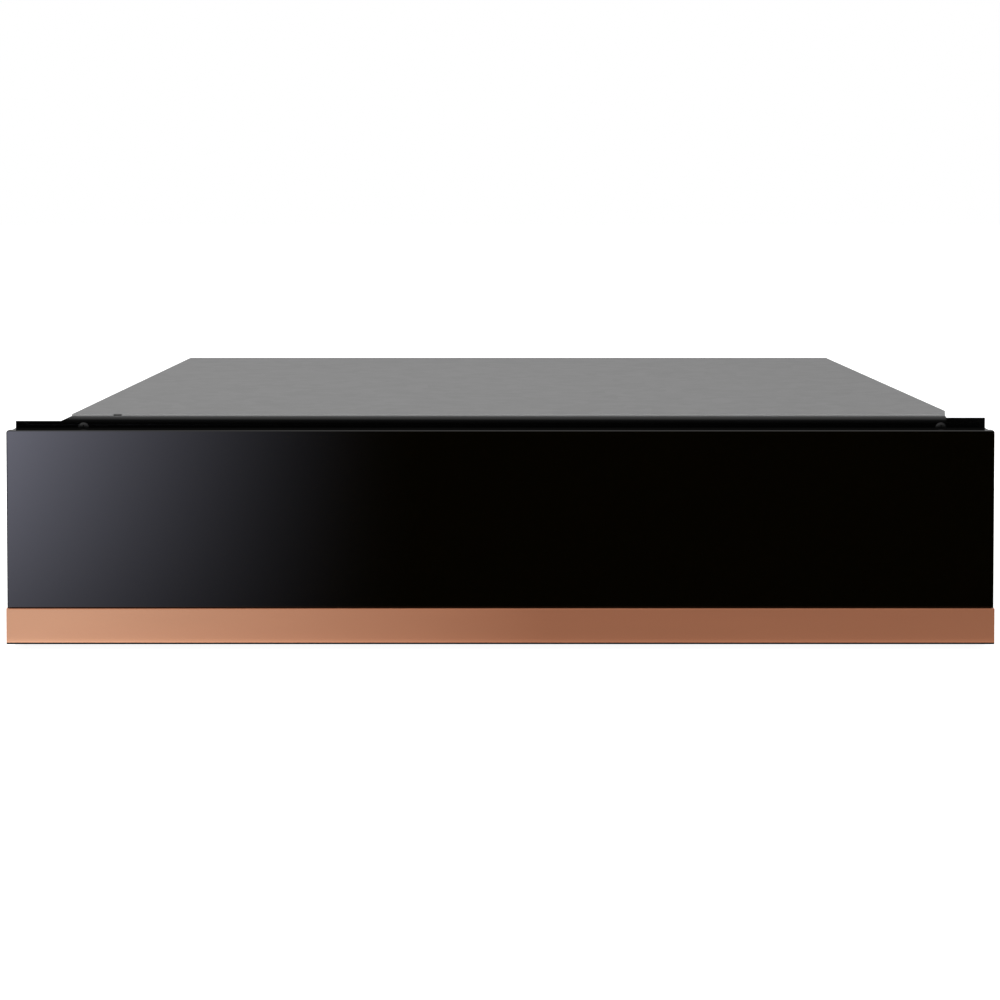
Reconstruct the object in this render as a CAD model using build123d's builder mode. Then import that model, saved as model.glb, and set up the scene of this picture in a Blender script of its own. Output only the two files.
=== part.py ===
from build123d import *
import os
from math import cos, radians, sin

# A built-in push-to-open warming drawer for a 140 mm niche.
# X runs to the viewer's right, Y runs from the front to the back and Z runs up.
# The origin is on the shelf, under the middle of the appliance.

# Overall sizes in millimetres
FRONT_WIDTH = 595.0
FRONT_BOTTOM = 3.6
FRONT_TOP_GAP = 7.0
OVERALL_DEPTH = 550.0
OVERALL_HEIGHT = 140.0
SIDE_LEFT = 263.0
SIDE_RIGHT = 277.5

# Sheet metal
SHEET = 1.0
BEND_RADIUS = 1.2
CORNER_CLEARANCE = 2.0
SIDE_FLANGE = 20.0
TOP_FLANGE = 14.0
WALL_FLANGE = 12.0
BASE_FLANGE = 9.0
BASE_RIB_WIDTH = 26.0
BASE_RIB_HEIGHT = 3.0
BASE_RIB_X = 120.0
COVER_REAR_LIP = 12.0
COVER_NOTCH_X = -237.5
COVER_NOTCH_WIDTH = 5.0
COVER_NOTCH_DEPTH = 1.5
COVER_CORNER_WIDTH = 4.5
COVER_CORNER_DEPTH = 22.5
COVER_SETBACK = 4.5

# Drawer front
GLASS_THICKNESS = 5.0
GLASS_EDGE = 0.6
GLASS_RADIUS = 1.5
PAD_THICKNESS = 1.0
PAD_WIDTH = 14.0
PAD_MARGIN = 12.0
PANEL_DEPTH = 15.0
PANEL_MARGIN = 0.5
PANEL_RADIUS = 1.5
STRIP_HEIGHT = 21.9
STRIP_LEG = 1.5
STRIP_EDGE = 1.4
STRIP_TOP_EDGE = 0.5
STRIP_OVERHANG = 0.6
STRIP_JOINT = 0.2
INNER_PANEL_CLEARANCE = 0.3
BUFFER_RADIUS = 5.0
BUFFER_HEIGHT = 1.2
BUFFER_INSET = 9.0

# Front frame, behind the drawer front
FRONT_GAP = 4.0
FRAME_SHEET = 1.5
FRAME_INSET = 1.0
FRAME_TOP_GAP = 1.8
FRAME_OPENING_BOTTOM = 8.0
FRAME_COLLAR = 9.0
FRAME_FLANGE = 8.8
FRAME_BEND = 3.0
FRAME_LEFT_DROP = 2.0
FRAME_RELIEF = 0.2
FRAME_SHOULDER = 6.0
CABINET_HOLE_X = 285.0
CABINET_HOLE_SPACING = 90.0
CABINET_HOLE_RADIUS = 2.25
CABINET_HOLE_Z = 68.0
SEAL_WIDTH = 5.0
SEAL_HEIGHT = 1.2
SEAL_MARGIN = 0.8

# Tub
TUB_INNER_WIDTH = 416.0
TUB_BOTTOM = 12.0
TUB_HEADROOM = 12.0
TUB_WALL = 1.0
TUB_CORNER = 14.0
TUB_FLOOR_RADIUS = 6.0
TUB_RIM = 5.0
TUB_RIM_DROP = 4.0
TUB_VENT_LENGTH = 34.0
TUB_VENT_WIDTH = 6.0
TUB_VENT_SPACING = 52.0
TUB_VENT_COUNT = 6
TUB_VENT_Z = 66.0
MAT_THICKNESS = 2.0
MAT_MARGIN = 3.0

# Cavity round the tub
BAFFLE_GAP = 14.0
INSULATION_THICKNESS = 13.5
INSULATION_CLEARANCE = 0.5

# Ball runners: three nested channels on each side, seen in section
RUNNER_THICKNESS = 12.7
RUNNER_HEIGHT = 45.5
RUNNER_Z = 62.0
RUNNER_START = 8.0
RUNNER_END = 12.5
RUNNER_HOLES = 4
RUNNER_HOLE_PITCH = 96.0
RUNNER_HOLE_RADIUS = 2.3
OUTER_WALL = 1.2
OUTER_CHANNEL_DEPTH = 10.2
OUTER_RACE = 3.65
MIDDLE_WALL = 1.0
MIDDLE_STANDOFF = 3.4
MIDDLE_CHANNEL_DEPTH = 7.8
INNER_RACE = 3.3
INNER_WALL = 1.2
INNER_CHANNEL_DEPTH = 6.1
RACE_CLEARANCE = 0.2
CAGE_WALL = 0.8
CAGE_SPACE = 0.5
CAGE_SHORTER = 20.0
CAGE_STRIP = 5.6
BALL_POCKET_CLEARANCE = 0.15
BALLS_PER_ROW = 3
BALL_SPACING = 78.0
BALL_INSET = 3.9

# Controls on the right-hand stile of the frame
FASCIA_WIDTH = 43.0
FASCIA_BOTTOM = 14.0
FASCIA_TOP_MARGIN = 20.2
FASCIA_LIP = 2.0
FASCIA_PROUD = 1.0
FASCIA_DEPTH = 9.0
FASCIA_WALL = 1.6
FASCIA_FIT = 0.3
FASCIA_RADIUS = 3.0
KNOB_SHARE = 0.71
KNOB_RADIUS = 10.5
KNOB_RECESS = 0.6
KNOB_LENGTH = 11.0
KNOB_GRIP_RADIUS = 3.4
KNOB_EDGE = 0.8
KNOB_FLUTES = 12
KNOB_FLUTE_RADIUS = 1.3
DISH_RADIUS = 17.5
DISH_DEPTH = 13.0
DISH_TAPER = 8.0
SHAFT_RADIUS = 3.0
SHAFT_CLEARANCE = 0.05
SHAFT_SPACE = 0.3
SHAFT_INSIDE = 12.0
SHAFT_GRIP = 8.0
THERMOSTAT_WIDTH = 32.0
THERMOSTAT_HEIGHT = 38.0
THERMOSTAT_DEPTH = 28.0
THERMOSTAT_BUSH_RADIUS = 6.0
THERMOSTAT_BUSH_LENGTH = 2.5
BULB_RADIUS = 3.2
BULB_LENGTH = 80.0
BULB_START = 110.0
CAPILLARY_RADIUS = 1.0
CAPILLARY_OFFSET = 9.0
CAPILLARY_BEND = 20.0
CAPILLARY_RUN = 15.0
CAPILLARY_SLOPE = 45.0
SWITCH_SHARE = 0.25
SWITCH_WIDTH = 15.0
SWITCH_HEIGHT = 22.0
SWITCH_DEPTH = 24.0
SWITCH_WALL = 1.4
SWITCH_RECESS = 0.2
SWITCH_CAVITY = 10.0
ROCKER_TILT = 8.0
ROCKER_HALF_HEIGHT = 8.4
ROCKER_FACE = 3.6
ROCKER_DISH = 1.0
ROCKER_BACK = 2.2
ROCKER_SIDE_CLEARANCE = 0.4
ROCKER_PIVOT_DEPTH = 5.2
ROCKER_PIN_RADIUS = 1.2
ROCKER_PIN_CLEARANCE = 0.08
ROCKER_PIN_REACH = 0.9
LAMP_RADIUS = 2.6
LAMP_PROUD = 0.2
LAMP_FIT = 0.1
LAMP_LENGTH = 14.0
LAMP_COLLAR = 1.2

# Fan heater behind the tub
PLENUM_HALF_WIDTH = 104.0
PLENUM_BOTTOM = 11.0
PLENUM_TOP_GAP = 5.0
PLENUM_DEPTH = 35.0
PLENUM_FLANGE = 8.0
INTAKE_SLOTS = 10
INTAKE_RADIUS = 24.0
INTAKE_SLOT_LENGTH = 20.0
INTAKE_SLOT_WIDTH = 6.0
OUTLET_X = 80.0
OUTLET_SPACING = 14.0
OUTLET_LENGTH = 70.0
OUTLET_WIDTH = 7.0
OUTLET_COUNT = 3
IMPELLER_CLEARANCE = 4.75
IMPELLER_EYE = 22.0
IMPELLER_START = 6.0
IMPELLER_BLADE_DEPTH = 18.0
IMPELLER_DISC = 1.2
IMPELLER_BLADES = 16
IMPELLER_BLADE_WALL = 1.2
IMPELLER_BLADE_LEAN = 28.0
IMPELLER_HUB_RADIUS = 9.0
MOTOR_SHAFT_RADIUS = 2.5
MOTOR_SHAFT_CLEARANCE = 0.05
MOTOR_SHAFT_INSIDE = 24.0
MOTOR_LENGTH = 34.0
MOTOR_CLEARANCE = 9.8
MOTOR_STACK = 18.0
MOTOR_STACK_START = 6.0
MOTOR_WIDTH = 60.0
MOTOR_HEIGHT = 56.0
MOTOR_CORNER = 8.0
MOTOR_BELL_RADIUS = 21.0
MOTOR_PLATE = 2.0
MOTOR_PLATE_WIDTH = 84.0
MOTOR_PLATE_HEIGHT = 30.0
COIL_RADIUS = 12.0
COIL_LENGTH = 30.0
ELEMENT_MARGIN = 8.0
ELEMENT_TUBE = 3.25
ELEMENT_Y = 15.0
ELEMENT_GAP_ANGLE = 50.0
ELEMENT_BEND = 10.0
ELEMENT_LEAD = 12.0
ELEMENT_HOLE_CLEARANCE = 0.5
CUTOUT_RADIUS = 8.0
CUTOUT_HEIGHT = 8.0
CUTOUT_FLANGE = 1.0
CUTOUT_FLANGE_LENGTH = 30.0
CUTOUT_TAB = 6.3
CUTOUT_TAB_WALL = 0.8
CUTOUT_TAB_SPACING = 9.0
CUTOUT_TAB_RISE = 6.0

# Push latches
LATCH_X = 160.0
LATCH_Z = 60.0
LATCH_WIDTH = 24.0
LATCH_HEIGHT = 22.0
LATCH_LENGTH = 40.0
LATCH_FLANGE = 2.0
LATCH_FLANGE_WIDTH = 40.0
LATCH_FLANGE_HEIGHT = 32.0
PLUNGER_RADIUS = 4.0
PLUNGER_CLEARANCE = 0.1
PLUNGER_HEAD_RADIUS = 6.5
PLUNGER_HEAD = 3.0
PLUNGER_GAP = 2.8
PLUNGER_INSIDE = 22.0
PLUNGER_TRAVEL = 4.0
STRIKER_SIZE = 22.0
STRIKER_THICKNESS = 2.0

# Wiring
LEAD_RADIUS = 1.6
LEAD_BEND = 10.0
LEAD_TAIL = 15.0
LEAD_SPAN = 60.0
LOOM_RADIUS = 3.5
LOOM_BEND = 25.0
LOOM_RUN = 22.0
LOOM_SLOPE = 40.0
CLIP_WALL = 1.6
CLIP_LENGTH = 8.0
CLIP_FIT = 0.05
CLIP_COUNT = 3
CLIP_SPACING = 130.0
TERMINAL_X = 190.0
TERMINAL_WIDTH = 40.0
TERMINAL_HEIGHT = 34.0
TERMINAL_DEPTH = 24.0
TERMINAL_WAYS = 3
TERMINAL_WAY_RADIUS = 4.0
TERMINAL_WAY_DEPTH = 8.0
GLAND_X = 238.0
GLAND_Z = 80.0
GLAND_RADIUS = 9.0
GLAND_FLANGE_RADIUS = 12.0
GLAND_FLANGE = 1.5
GLAND_LENGTH = 16.0
GLAND_BORE = 4.0
GLAND_FIT = 0.1
REAR_VENT_COLUMNS = 9
REAR_VENT_ROWS = 2
REAR_VENT_PITCH = 12.0
REAR_VENT_ROW_PITCH = 50.0
REAR_VENT_LENGTH = 40.0
REAR_VENT_WIDTH = 5.0
SIDE_VENT_COUNT = 5
SIDE_VENT_PITCH = 12.0
SIDE_VENT_LENGTH = 50.0
SIDE_VENT_WIDTH = 5.0
SIDE_VENT_FROM_REAR = 60.0

# Turns of a slot, in degrees
LEVEL = 0.0
UPRIGHT = 90.0

# Screws
SCREW_RADIUS = 1.6
SCREW_LENGTH = 6.0
SCREW_HEAD_RADIUS = 3.4
SCREW_HEAD = 1.2
SCREW_HOLE_CLEARANCE = 0.2
FRAME_SCREW_INSET = 8.0
FRAME_SCREW_LOW = 7.0
FRAME_SCREW_DROP = 6.2
REAR_SCREW_INSET = 10.0
REAR_SCREW_LOW = 20.0
COVER_SCREW_X = 150.0
TUB_SCREW_X = 120.0
TUB_SCREW_LOW = 34.0
TUB_SCREW_DROP = 20.0

# Stations along the depth
front_y = -OVERALL_DEPTH / 2
glass_back_y = front_y + GLASS_THICKNESS
panel_front_y = glass_back_y + PAD_THICKNESS
panel_rear_y = panel_front_y + PANEL_DEPTH
frame_front_y = panel_rear_y + FRONT_GAP
frame_back_y = frame_front_y + FRAME_SHEET
cover_front_y = frame_front_y + COVER_SETBACK
rear_y = OVERALL_DEPTH / 2
cover_rear_y = rear_y - SCREW_HEAD
rear_panel_outer_y = cover_rear_y - SHEET
rear_panel_inner_y = rear_panel_outer_y - SHEET
plenum_rear_y = rear_panel_inner_y - MOTOR_CLEARANCE - MOTOR_LENGTH
baffle_back_y = plenum_rear_y - PLENUM_DEPTH
baffle_front_y = baffle_back_y - SHEET
tub_rear_y = baffle_front_y - BAFFLE_GAP
tub_depth = tub_rear_y - panel_rear_y
runner_front_y = frame_back_y + RUNNER_START
runner_length = baffle_front_y - RUNNER_END - runner_front_y
striker_back_y = tub_rear_y + STRIKER_THICKNESS
plunger_tip_y = striker_back_y + PLUNGER_GAP

# Stations across the width and up the height
tub_half = TUB_INNER_WIDTH / 2 + TUB_WALL
cavity_half = tub_half + RUNNER_THICKNESS
cavity_outer = cavity_half + SHEET
left_inner = SIDE_LEFT - SHEET
right_inner = SIDE_RIGHT - SHEET
half_sheet = SHEET / 2
cover_under = OVERALL_HEIGHT - SHEET
ceiling_top = cover_under - INSULATION_CLEARANCE - INSULATION_THICKNESS
cavity_top = ceiling_top - SHEET
tub_top = cavity_top - TUB_HEADROOM
frame_top = OVERALL_HEIGHT - FRAME_TOP_GAP
front_top = OVERALL_HEIGHT - FRONT_TOP_GAP
strip_top = FRONT_BOTTOM + STRIP_HEIGHT
panel_bottom = FRONT_BOTTOM + STRIP_LEG
panel_top = front_top - PANEL_MARGIN
glass_width = FRONT_WIDTH - 2 * STRIP_OVERHANG
panel_width = glass_width - 2 * PANEL_MARGIN
fascia_x = (cavity_half + SEAL_MARGIN + SEAL_WIDTH + right_inner) / 2
fascia_height = frame_top - FASCIA_TOP_MARGIN - FASCIA_BOTTOM
fascia_z = FASCIA_BOTTOM + fascia_height / 2
fascia_cut_width = FASCIA_WIDTH - 2 * FASCIA_LIP
fascia_cut_height = fascia_height - 2 * FASCIA_LIP
knob_z = FASCIA_BOTTOM + KNOB_SHARE * fascia_height
switch_z = FASCIA_BOTTOM + SWITCH_SHARE * fascia_height
lamp_z = (knob_z - DISH_RADIUS - FASCIA_WALL + switch_z + SWITCH_HEIGHT / 2) / 2
plenum_top = cavity_top - PLENUM_TOP_GAP
plenum_height = plenum_top - PLENUM_BOTTOM
fan_z = PLENUM_BOTTOM + plenum_height / 2
element_radius = plenum_height / 2 - ELEMENT_MARGIN
impeller_radius = element_radius - ELEMENT_TUBE - IMPELLER_CLEARANCE
screw_hole = SCREW_RADIUS + SCREW_HOLE_CLEARANCE
housing_width = SIDE_LEFT + SIDE_RIGHT
frame_width = FRONT_WIDTH - 2 * FRAME_INSET
cover_corner_x = SIDE_RIGHT - COVER_CORNER_WIDTH
cover_corner_y = cover_front_y + COVER_CORNER_DEPTH
relief_y = frame_front_y + FRAME_FLANGE + CORNER_CLEARANCE
flange_mid_z = cover_under - FRAME_SHEET / 2
bend_bottom = flange_mid_z - FRAME_BEND
relief_z = bend_bottom - FRAME_RELIEF


def front_plane(y):
    """Upright plane facing the viewer: sketch X is X and sketch Y is Z."""
    return Plane(origin=(0, y, 0), x_dir=(1, 0, 0), z_dir=(0, -1, 0))


def axle_plane(x, y, z):
    """Plane on a front-to-back axis, whose normal runs to the back."""
    return Plane(origin=(x, y, z), x_dir=(-1, 0, 0), z_dir=(0, 1, 0))


def block(low, high, mode=Mode.ADD):
    """Plain block between two opposite corners, in the part being built."""
    size = Vector(*high) - Vector(*low)
    with Locations((Vector(*high) + Vector(*low)) * 0.5):
        Box(abs(size.X), abs(size.Y), abs(size.Z), mode=mode)


def folded_sheet(plane, centre_line, length, thickness=SHEET, bend=BEND_RADIUS):
    """Sheet bent along a centre line that lies on a plane, as long as asked."""
    with BuildSketch(plane) as section:
        with BuildLine():
            FilletPolyline(*centre_line, radius=bend)
        trace(line_width=thickness)
    extrude(section.sketch, amount=length)


def drill(plane, points, radius, reach):
    """Round holes through the part being built, as far as asked on both sides."""
    with BuildSketch(plane) as holes:
        with Locations(*points):
            Circle(radius)
    extrude(holes.sketch, amount=reach, both=True, mode=Mode.SUBTRACT)


def slots(plane, points, length, width, turn, reach):
    """Round-ended slots through the part being built."""
    with BuildSketch(plane) as openings:
        with Locations(*points):
            SlotOverall(length, width, rotation=turn)
    extrude(openings.sketch, amount=reach, both=True, mode=Mode.SUBTRACT)


def wire(points, radius, bend):
    """Round wire or tube along a route with rounded corners."""
    with BuildPart() as tube:
        with BuildLine():
            FilletPolyline(*points, radius=bend)
        with BuildSketch(Plane(origin=points[0], z_dir=Vector(*points[1]) - Vector(*points[0]))):
            Circle(radius)
        sweep()
    return tube.part


def row(count, pitch):
    """Places in a row, evenly spaced about zero."""
    return [(i - (count - 1) / 2) * pitch for i in range(count)]


def screws(planes):
    """Pan-head screws, one on each plane, with the normal as the driving direction."""
    with BuildPart() as group:
        for plane in planes:
            with BuildSketch(plane) as shank:
                Circle(SCREW_RADIUS)
            extrude(shank.sketch, amount=SCREW_LENGTH)
            with BuildSketch(plane) as head:
                Circle(SCREW_HEAD_RADIUS)
            extrude(head.sketch, amount=-SCREW_HEAD)
    return group.part


finished = {}

# Places of the screws and holes that several sheets share
frame_screw_points = []
for edge_x in (-SIDE_LEFT + FRAME_SCREW_INSET, SIDE_RIGHT - FRAME_SCREW_INSET):
    for height in (FRAME_SCREW_LOW, frame_top - FRAME_SCREW_DROP):
        frame_screw_points.append((edge_x, height))
rear_screw_points = []
for edge_x in (-SIDE_LEFT + REAR_SCREW_INSET, SIDE_RIGHT - REAR_SCREW_INSET):
    rear_screw_points.append((edge_x, REAR_SCREW_LOW))
cover_screw_z = OVERALL_HEIGHT - COVER_REAR_LIP / 2
cover_screw_points = [(-COVER_SCREW_X, cover_screw_z), (COVER_SCREW_X, cover_screw_z)]
for edge_x in (-SIDE_LEFT + REAR_SCREW_INSET, SIDE_RIGHT - REAR_SCREW_INSET):
    cover_screw_points.append((edge_x, cover_screw_z))
tub_screw_points = []
for offset_x in (-TUB_SCREW_X, TUB_SCREW_X):
    for height in (TUB_SCREW_LOW, tub_top - TUB_SCREW_DROP):
        tub_screw_points.append((offset_x, height))
cabinet_holes = []
for offset_x in (-CABINET_HOLE_X, CABINET_HOLE_X):
    for rise in (-CABINET_HOLE_SPACING / 2, CABINET_HOLE_SPACING / 2):
        cabinet_holes.append((offset_x, CABINET_HOLE_Z + rise))
latch_points = [(-LATCH_X, LATCH_Z), (LATCH_X, LATCH_Z)]

# Base pan: one sheet with turned-up sides and two stiffening ribs
base_front_y = frame_back_y + CORNER_CLEARANCE
base_rear_y = rear_panel_inner_y - CORNER_CLEARANCE
rib_half = BASE_RIB_WIDTH / 2
base_line = [(-left_inner + half_sheet, BASE_FLANGE), (-left_inner + half_sheet, half_sheet)]
for rib_x in (-BASE_RIB_X, BASE_RIB_X):
    base_line.append((rib_x - rib_half, half_sheet))
    base_line.append((rib_x - rib_half + BASE_RIB_HEIGHT, half_sheet + BASE_RIB_HEIGHT))
    base_line.append((rib_x + rib_half - BASE_RIB_HEIGHT, half_sheet + BASE_RIB_HEIGHT))
    base_line.append((rib_x + rib_half, half_sheet))
base_line.append((right_inner - half_sheet, half_sheet))
base_line.append((right_inner - half_sheet, BASE_FLANGE))
with BuildPart() as base_pan:
    folded_sheet(front_plane(base_rear_y), base_line, base_rear_y - base_front_y)
finished["base_pan"] = base_pan.part


# Side panels: an upright sheet with front, rear and top flanges turned in
def side_panel(side, outer):
    """Side sheet of the housing, on the left at -1 or on the right at +1."""
    wall_x = side * (outer - half_sheet)
    flange_x = side * (outer - SIDE_FLANGE)
    line = [
        (flange_x, frame_back_y + half_sheet),
        (wall_x, frame_back_y + half_sheet),
        (wall_x, rear_panel_inner_y - half_sheet),
        (flange_x, rear_panel_inner_y - half_sheet),
    ]
    vents = []
    for place in row(SIDE_VENT_COUNT, SIDE_VENT_PITCH):
        vents.append((rear_panel_inner_y - SIDE_VENT_FROM_REAR + place, OVERALL_HEIGHT / 2))
    with BuildPart() as panel:
        folded_sheet(Plane.XY, line, cover_under)
        block(
            (side * (outer - TOP_FLANGE), relief_y, cover_under - SHEET),
            (wall_x, rear_panel_inner_y - SHEET - CORNER_CLEARANCE, cover_under),
        )
        block(
            (side * (outer - SIDE_FLANGE), frame_back_y, relief_z),
            (side * outer, relief_y, cover_under),
            mode=Mode.SUBTRACT,
        )
        block(
            (cover_corner_x, frame_back_y, relief_z),
            (SIDE_RIGHT, cover_corner_y, cover_under),
            mode=Mode.SUBTRACT,
        )
        slots(Plane.YZ.offset(wall_x), vents, SIDE_VENT_LENGTH, SIDE_VENT_WIDTH, UPRIGHT, SHEET)
        block(
            (fascia_x - fascia_cut_width / 2, frame_back_y, fascia_z - fascia_cut_height / 2),
            (fascia_x + fascia_cut_width / 2, frame_back_y + SHEET, fascia_z + fascia_cut_height / 2),
            mode=Mode.SUBTRACT,
        )
        drill(front_plane(frame_back_y + half_sheet), frame_screw_points, screw_hole, SHEET)
        drill(front_plane(rear_panel_inner_y - half_sheet), rear_screw_points, screw_hole, SHEET)
        drill(front_plane(rear_panel_inner_y - half_sheet), cover_screw_points, screw_hole, SHEET)
    return panel.part


finished["side_panel_left"] = side_panel(-1, SIDE_LEFT)
finished["side_panel_right"] = side_panel(1, SIDE_RIGHT)

# Rear panel with the motor's vents and the cable entry
rear_vents = []
for place in row(REAR_VENT_COLUMNS, REAR_VENT_PITCH):
    for rise in row(REAR_VENT_ROWS, REAR_VENT_ROW_PITCH):
        rear_vents.append((place, fan_z + rise))
rear_panel_top = cover_under - CORNER_CLEARANCE
with BuildPart() as rear_panel:
    block((-SIDE_LEFT, rear_panel_inner_y, 0), (SIDE_RIGHT, rear_panel_outer_y, rear_panel_top))
    slots(front_plane(rear_panel_inner_y), rear_vents, REAR_VENT_LENGTH, REAR_VENT_WIDTH, UPRIGHT, SHEET)
    drill(front_plane(rear_panel_inner_y), [(GLAND_X, GLAND_Z)], GLAND_RADIUS + GLAND_FIT, SHEET)
    drill(front_plane(rear_panel_inner_y), rear_screw_points, screw_hole, SHEET)
    drill(front_plane(rear_panel_inner_y), cover_screw_points, screw_hole, SHEET)
finished["rear_panel"] = rear_panel.part

# Top cover: it lies on the frame's flange, with one front corner cut away and its rear lip screwed on
cover_mid = OVERALL_HEIGHT - half_sheet
cover_line = [
    (cover_front_y, cover_mid),
    (cover_rear_y - half_sheet, cover_mid),
    (cover_rear_y - half_sheet, OVERALL_HEIGHT - COVER_REAR_LIP),
]
cover_corner = [(cover_corner_x, cover_front_y), (SIDE_RIGHT, cover_front_y), (SIDE_RIGHT, cover_corner_y)]
with BuildPart() as top_cover:
    folded_sheet(Plane.YZ.offset(-SIDE_LEFT), cover_line, housing_width)
    block(
        (COVER_NOTCH_X, cover_front_y, cover_under),
        (COVER_NOTCH_X + COVER_NOTCH_WIDTH, cover_front_y + COVER_NOTCH_DEPTH, OVERALL_HEIGHT),
        mode=Mode.SUBTRACT,
    )
    with BuildSketch(Plane.XY.offset(cover_under)):
        Polygon(*cover_corner, align=None)
    extrude(amount=SHEET, mode=Mode.SUBTRACT)
    drill(front_plane(cover_rear_y), cover_screw_points, screw_hole, SHEET)
finished["top_cover"] = top_cover.part

# Front frame: plate with the drawer's opening, collars, the controls' cut-out and a flange under the cover
opening_height = cavity_top - FRAME_OPENING_BOTTOM
opening_middle = (cavity_top + FRAME_OPENING_BOTTOM) / 2
collar_back_y = frame_front_y + FRAME_COLLAR
frame_mid_y = frame_front_y + FRAME_SHEET / 2
shoulder_x = -SIDE_LEFT - FRAME_SHOULDER
flange_width = cover_corner_x - shoulder_x
left_tab_width = frame_width / 2 + shoulder_x
right_tab_width = frame_width / 2 - cover_corner_x
frame_left_top = frame_top - FRAME_LEFT_DROP
shoulder_cut = [
    (shoulder_x, frame_left_top),
    (shoulder_x + FRAME_SHOULDER, cover_under),
    (shoulder_x, cover_under),
]
flange_line = [
    (frame_mid_y, bend_bottom - FRAME_SHEET),
    (frame_mid_y, flange_mid_z),
    (frame_front_y + FRAME_FLANGE, flange_mid_z),
]
with BuildPart() as front_frame:
    with BuildSketch(front_plane(frame_front_y)):
        with Locations((0, bend_bottom / 2)):
            Rectangle(frame_width, bend_bottom)
        with Locations((shoulder_x - left_tab_width / 2, frame_left_top / 2)):
            Rectangle(left_tab_width, frame_left_top)
        with Locations((cover_corner_x + right_tab_width / 2, frame_top / 2)):
            Rectangle(right_tab_width, frame_top)
        with Locations((0, opening_middle)):
            Rectangle(2 * cavity_half, opening_height, mode=Mode.SUBTRACT)
        with Locations((fascia_x, fascia_z)):
            Rectangle(fascia_cut_width, fascia_cut_height, mode=Mode.SUBTRACT)
        with Locations(*cabinet_holes):
            Circle(CABINET_HOLE_RADIUS, mode=Mode.SUBTRACT)
        with Locations(*frame_screw_points):
            Circle(screw_hole, mode=Mode.SUBTRACT)
    extrude(amount=-FRAME_SHEET)
    folded_sheet(Plane.YZ.offset(shoulder_x), flange_line, flange_width, FRAME_SHEET, FRAME_BEND)
    with BuildSketch(front_plane(frame_front_y)):
        Polygon(*shoulder_cut, align=None)
    extrude(amount=-FRAME_FLANGE, mode=Mode.SUBTRACT)
    for low_z in (FRAME_OPENING_BOTTOM - FRAME_SHEET, cavity_top):
        block(
            (-cavity_half, frame_front_y, low_z),
            (cavity_half, collar_back_y, low_z + FRAME_SHEET),
        )
finished["front_frame"] = front_frame.part

# Seal on the frame, round the opening
seal_width = 2 * (cavity_half + SEAL_MARGIN)
seal_height = opening_height + 2 * SEAL_MARGIN
with BuildPart() as frame_seal:
    with BuildSketch(front_plane(frame_front_y)):
        with Locations((0, opening_middle)):
            RectangleRounded(seal_width + 2 * SEAL_WIDTH, seal_height + 2 * SEAL_WIDTH, SEAL_WIDTH)
            Rectangle(seal_width, seal_height, mode=Mode.SUBTRACT)
    extrude(amount=SEAL_HEIGHT)
finished["frame_seal"] = frame_seal.part


# Cavity walls that carry the runners
def cavity_side(side):
    """Upright channel between the base pan and the ceiling."""
    wall_x = side * (cavity_half + half_sheet)
    flange_x = side * (cavity_outer + WALL_FLANGE)
    line = [
        (flange_x, SHEET + half_sheet),
        (wall_x, SHEET + half_sheet),
        (wall_x, cavity_top - half_sheet),
        (flange_x, cavity_top - half_sheet),
    ]
    with BuildPart() as wall:
        folded_sheet(front_plane(baffle_front_y), line, baffle_front_y - base_front_y)
    return wall.part


finished["cavity_side_left"] = cavity_side(-1)
finished["cavity_side_right"] = cavity_side(1)

# Ceiling of the cavity, with its insulation
ceiling_half = cavity_outer + WALL_FLANGE
with BuildPart() as cavity_ceiling:
    block((-ceiling_half, collar_back_y, cavity_top), (ceiling_half, baffle_front_y, ceiling_top))
finished["cavity_ceiling"] = cavity_ceiling.part
with BuildPart() as ceiling_insulation:
    block(
        (-cavity_half, collar_back_y, ceiling_top),
        (cavity_half, baffle_front_y, cover_under - INSULATION_CLEARANCE),
    )
finished["ceiling_insulation"] = ceiling_insulation.part

# Air baffle at the back of the cavity, with the fan's intake and outlets
outlets = []
for side in (-1, 1):
    for place in row(OUTLET_COUNT, OUTLET_SPACING):
        outlets.append((side * OUTLET_X + place, fan_z))
with BuildPart() as air_baffle:
    block(
        (-ceiling_half, baffle_front_y, SHEET + BASE_RIB_HEIGHT),
        (ceiling_half, baffle_back_y, ceiling_top),
    )
    slots(front_plane(baffle_front_y), outlets, OUTLET_LENGTH, OUTLET_WIDTH, UPRIGHT, SHEET)
    with BuildSketch(front_plane(baffle_front_y)) as intake:
        with Locations((0, fan_z)):
            with PolarLocations(INTAKE_RADIUS, INTAKE_SLOTS):
                SlotOverall(INTAKE_SLOT_LENGTH, INTAKE_SLOT_WIDTH)
    extrude(intake.sketch, amount=SHEET, both=True, mode=Mode.SUBTRACT)
    drill(front_plane(baffle_front_y), latch_points, PLUNGER_HEAD_RADIUS, SHEET)
finished["air_baffle"] = air_baffle.part

# Heater box: a pressed tray screwed to the back of the baffle
gap_half = ELEMENT_GAP_ANGLE / 2
element_angles = (-UPRIGHT + gap_half, 3 * UPRIGHT - gap_half)
element_y = baffle_back_y + ELEMENT_Y
fan_centre = Vector(0, 0, fan_z)


def ring_point(angle):
    """Point of the heating ring, on its own plane."""
    out = Vector(cos(radians(angle)), 0, sin(radians(angle)))
    return fan_centre + out * element_radius + Vector(0, element_y, 0)


def ring_tangent(angle):
    """Direction along the heating ring."""
    return Vector(-sin(radians(angle)), 0, cos(radians(angle)))


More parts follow.
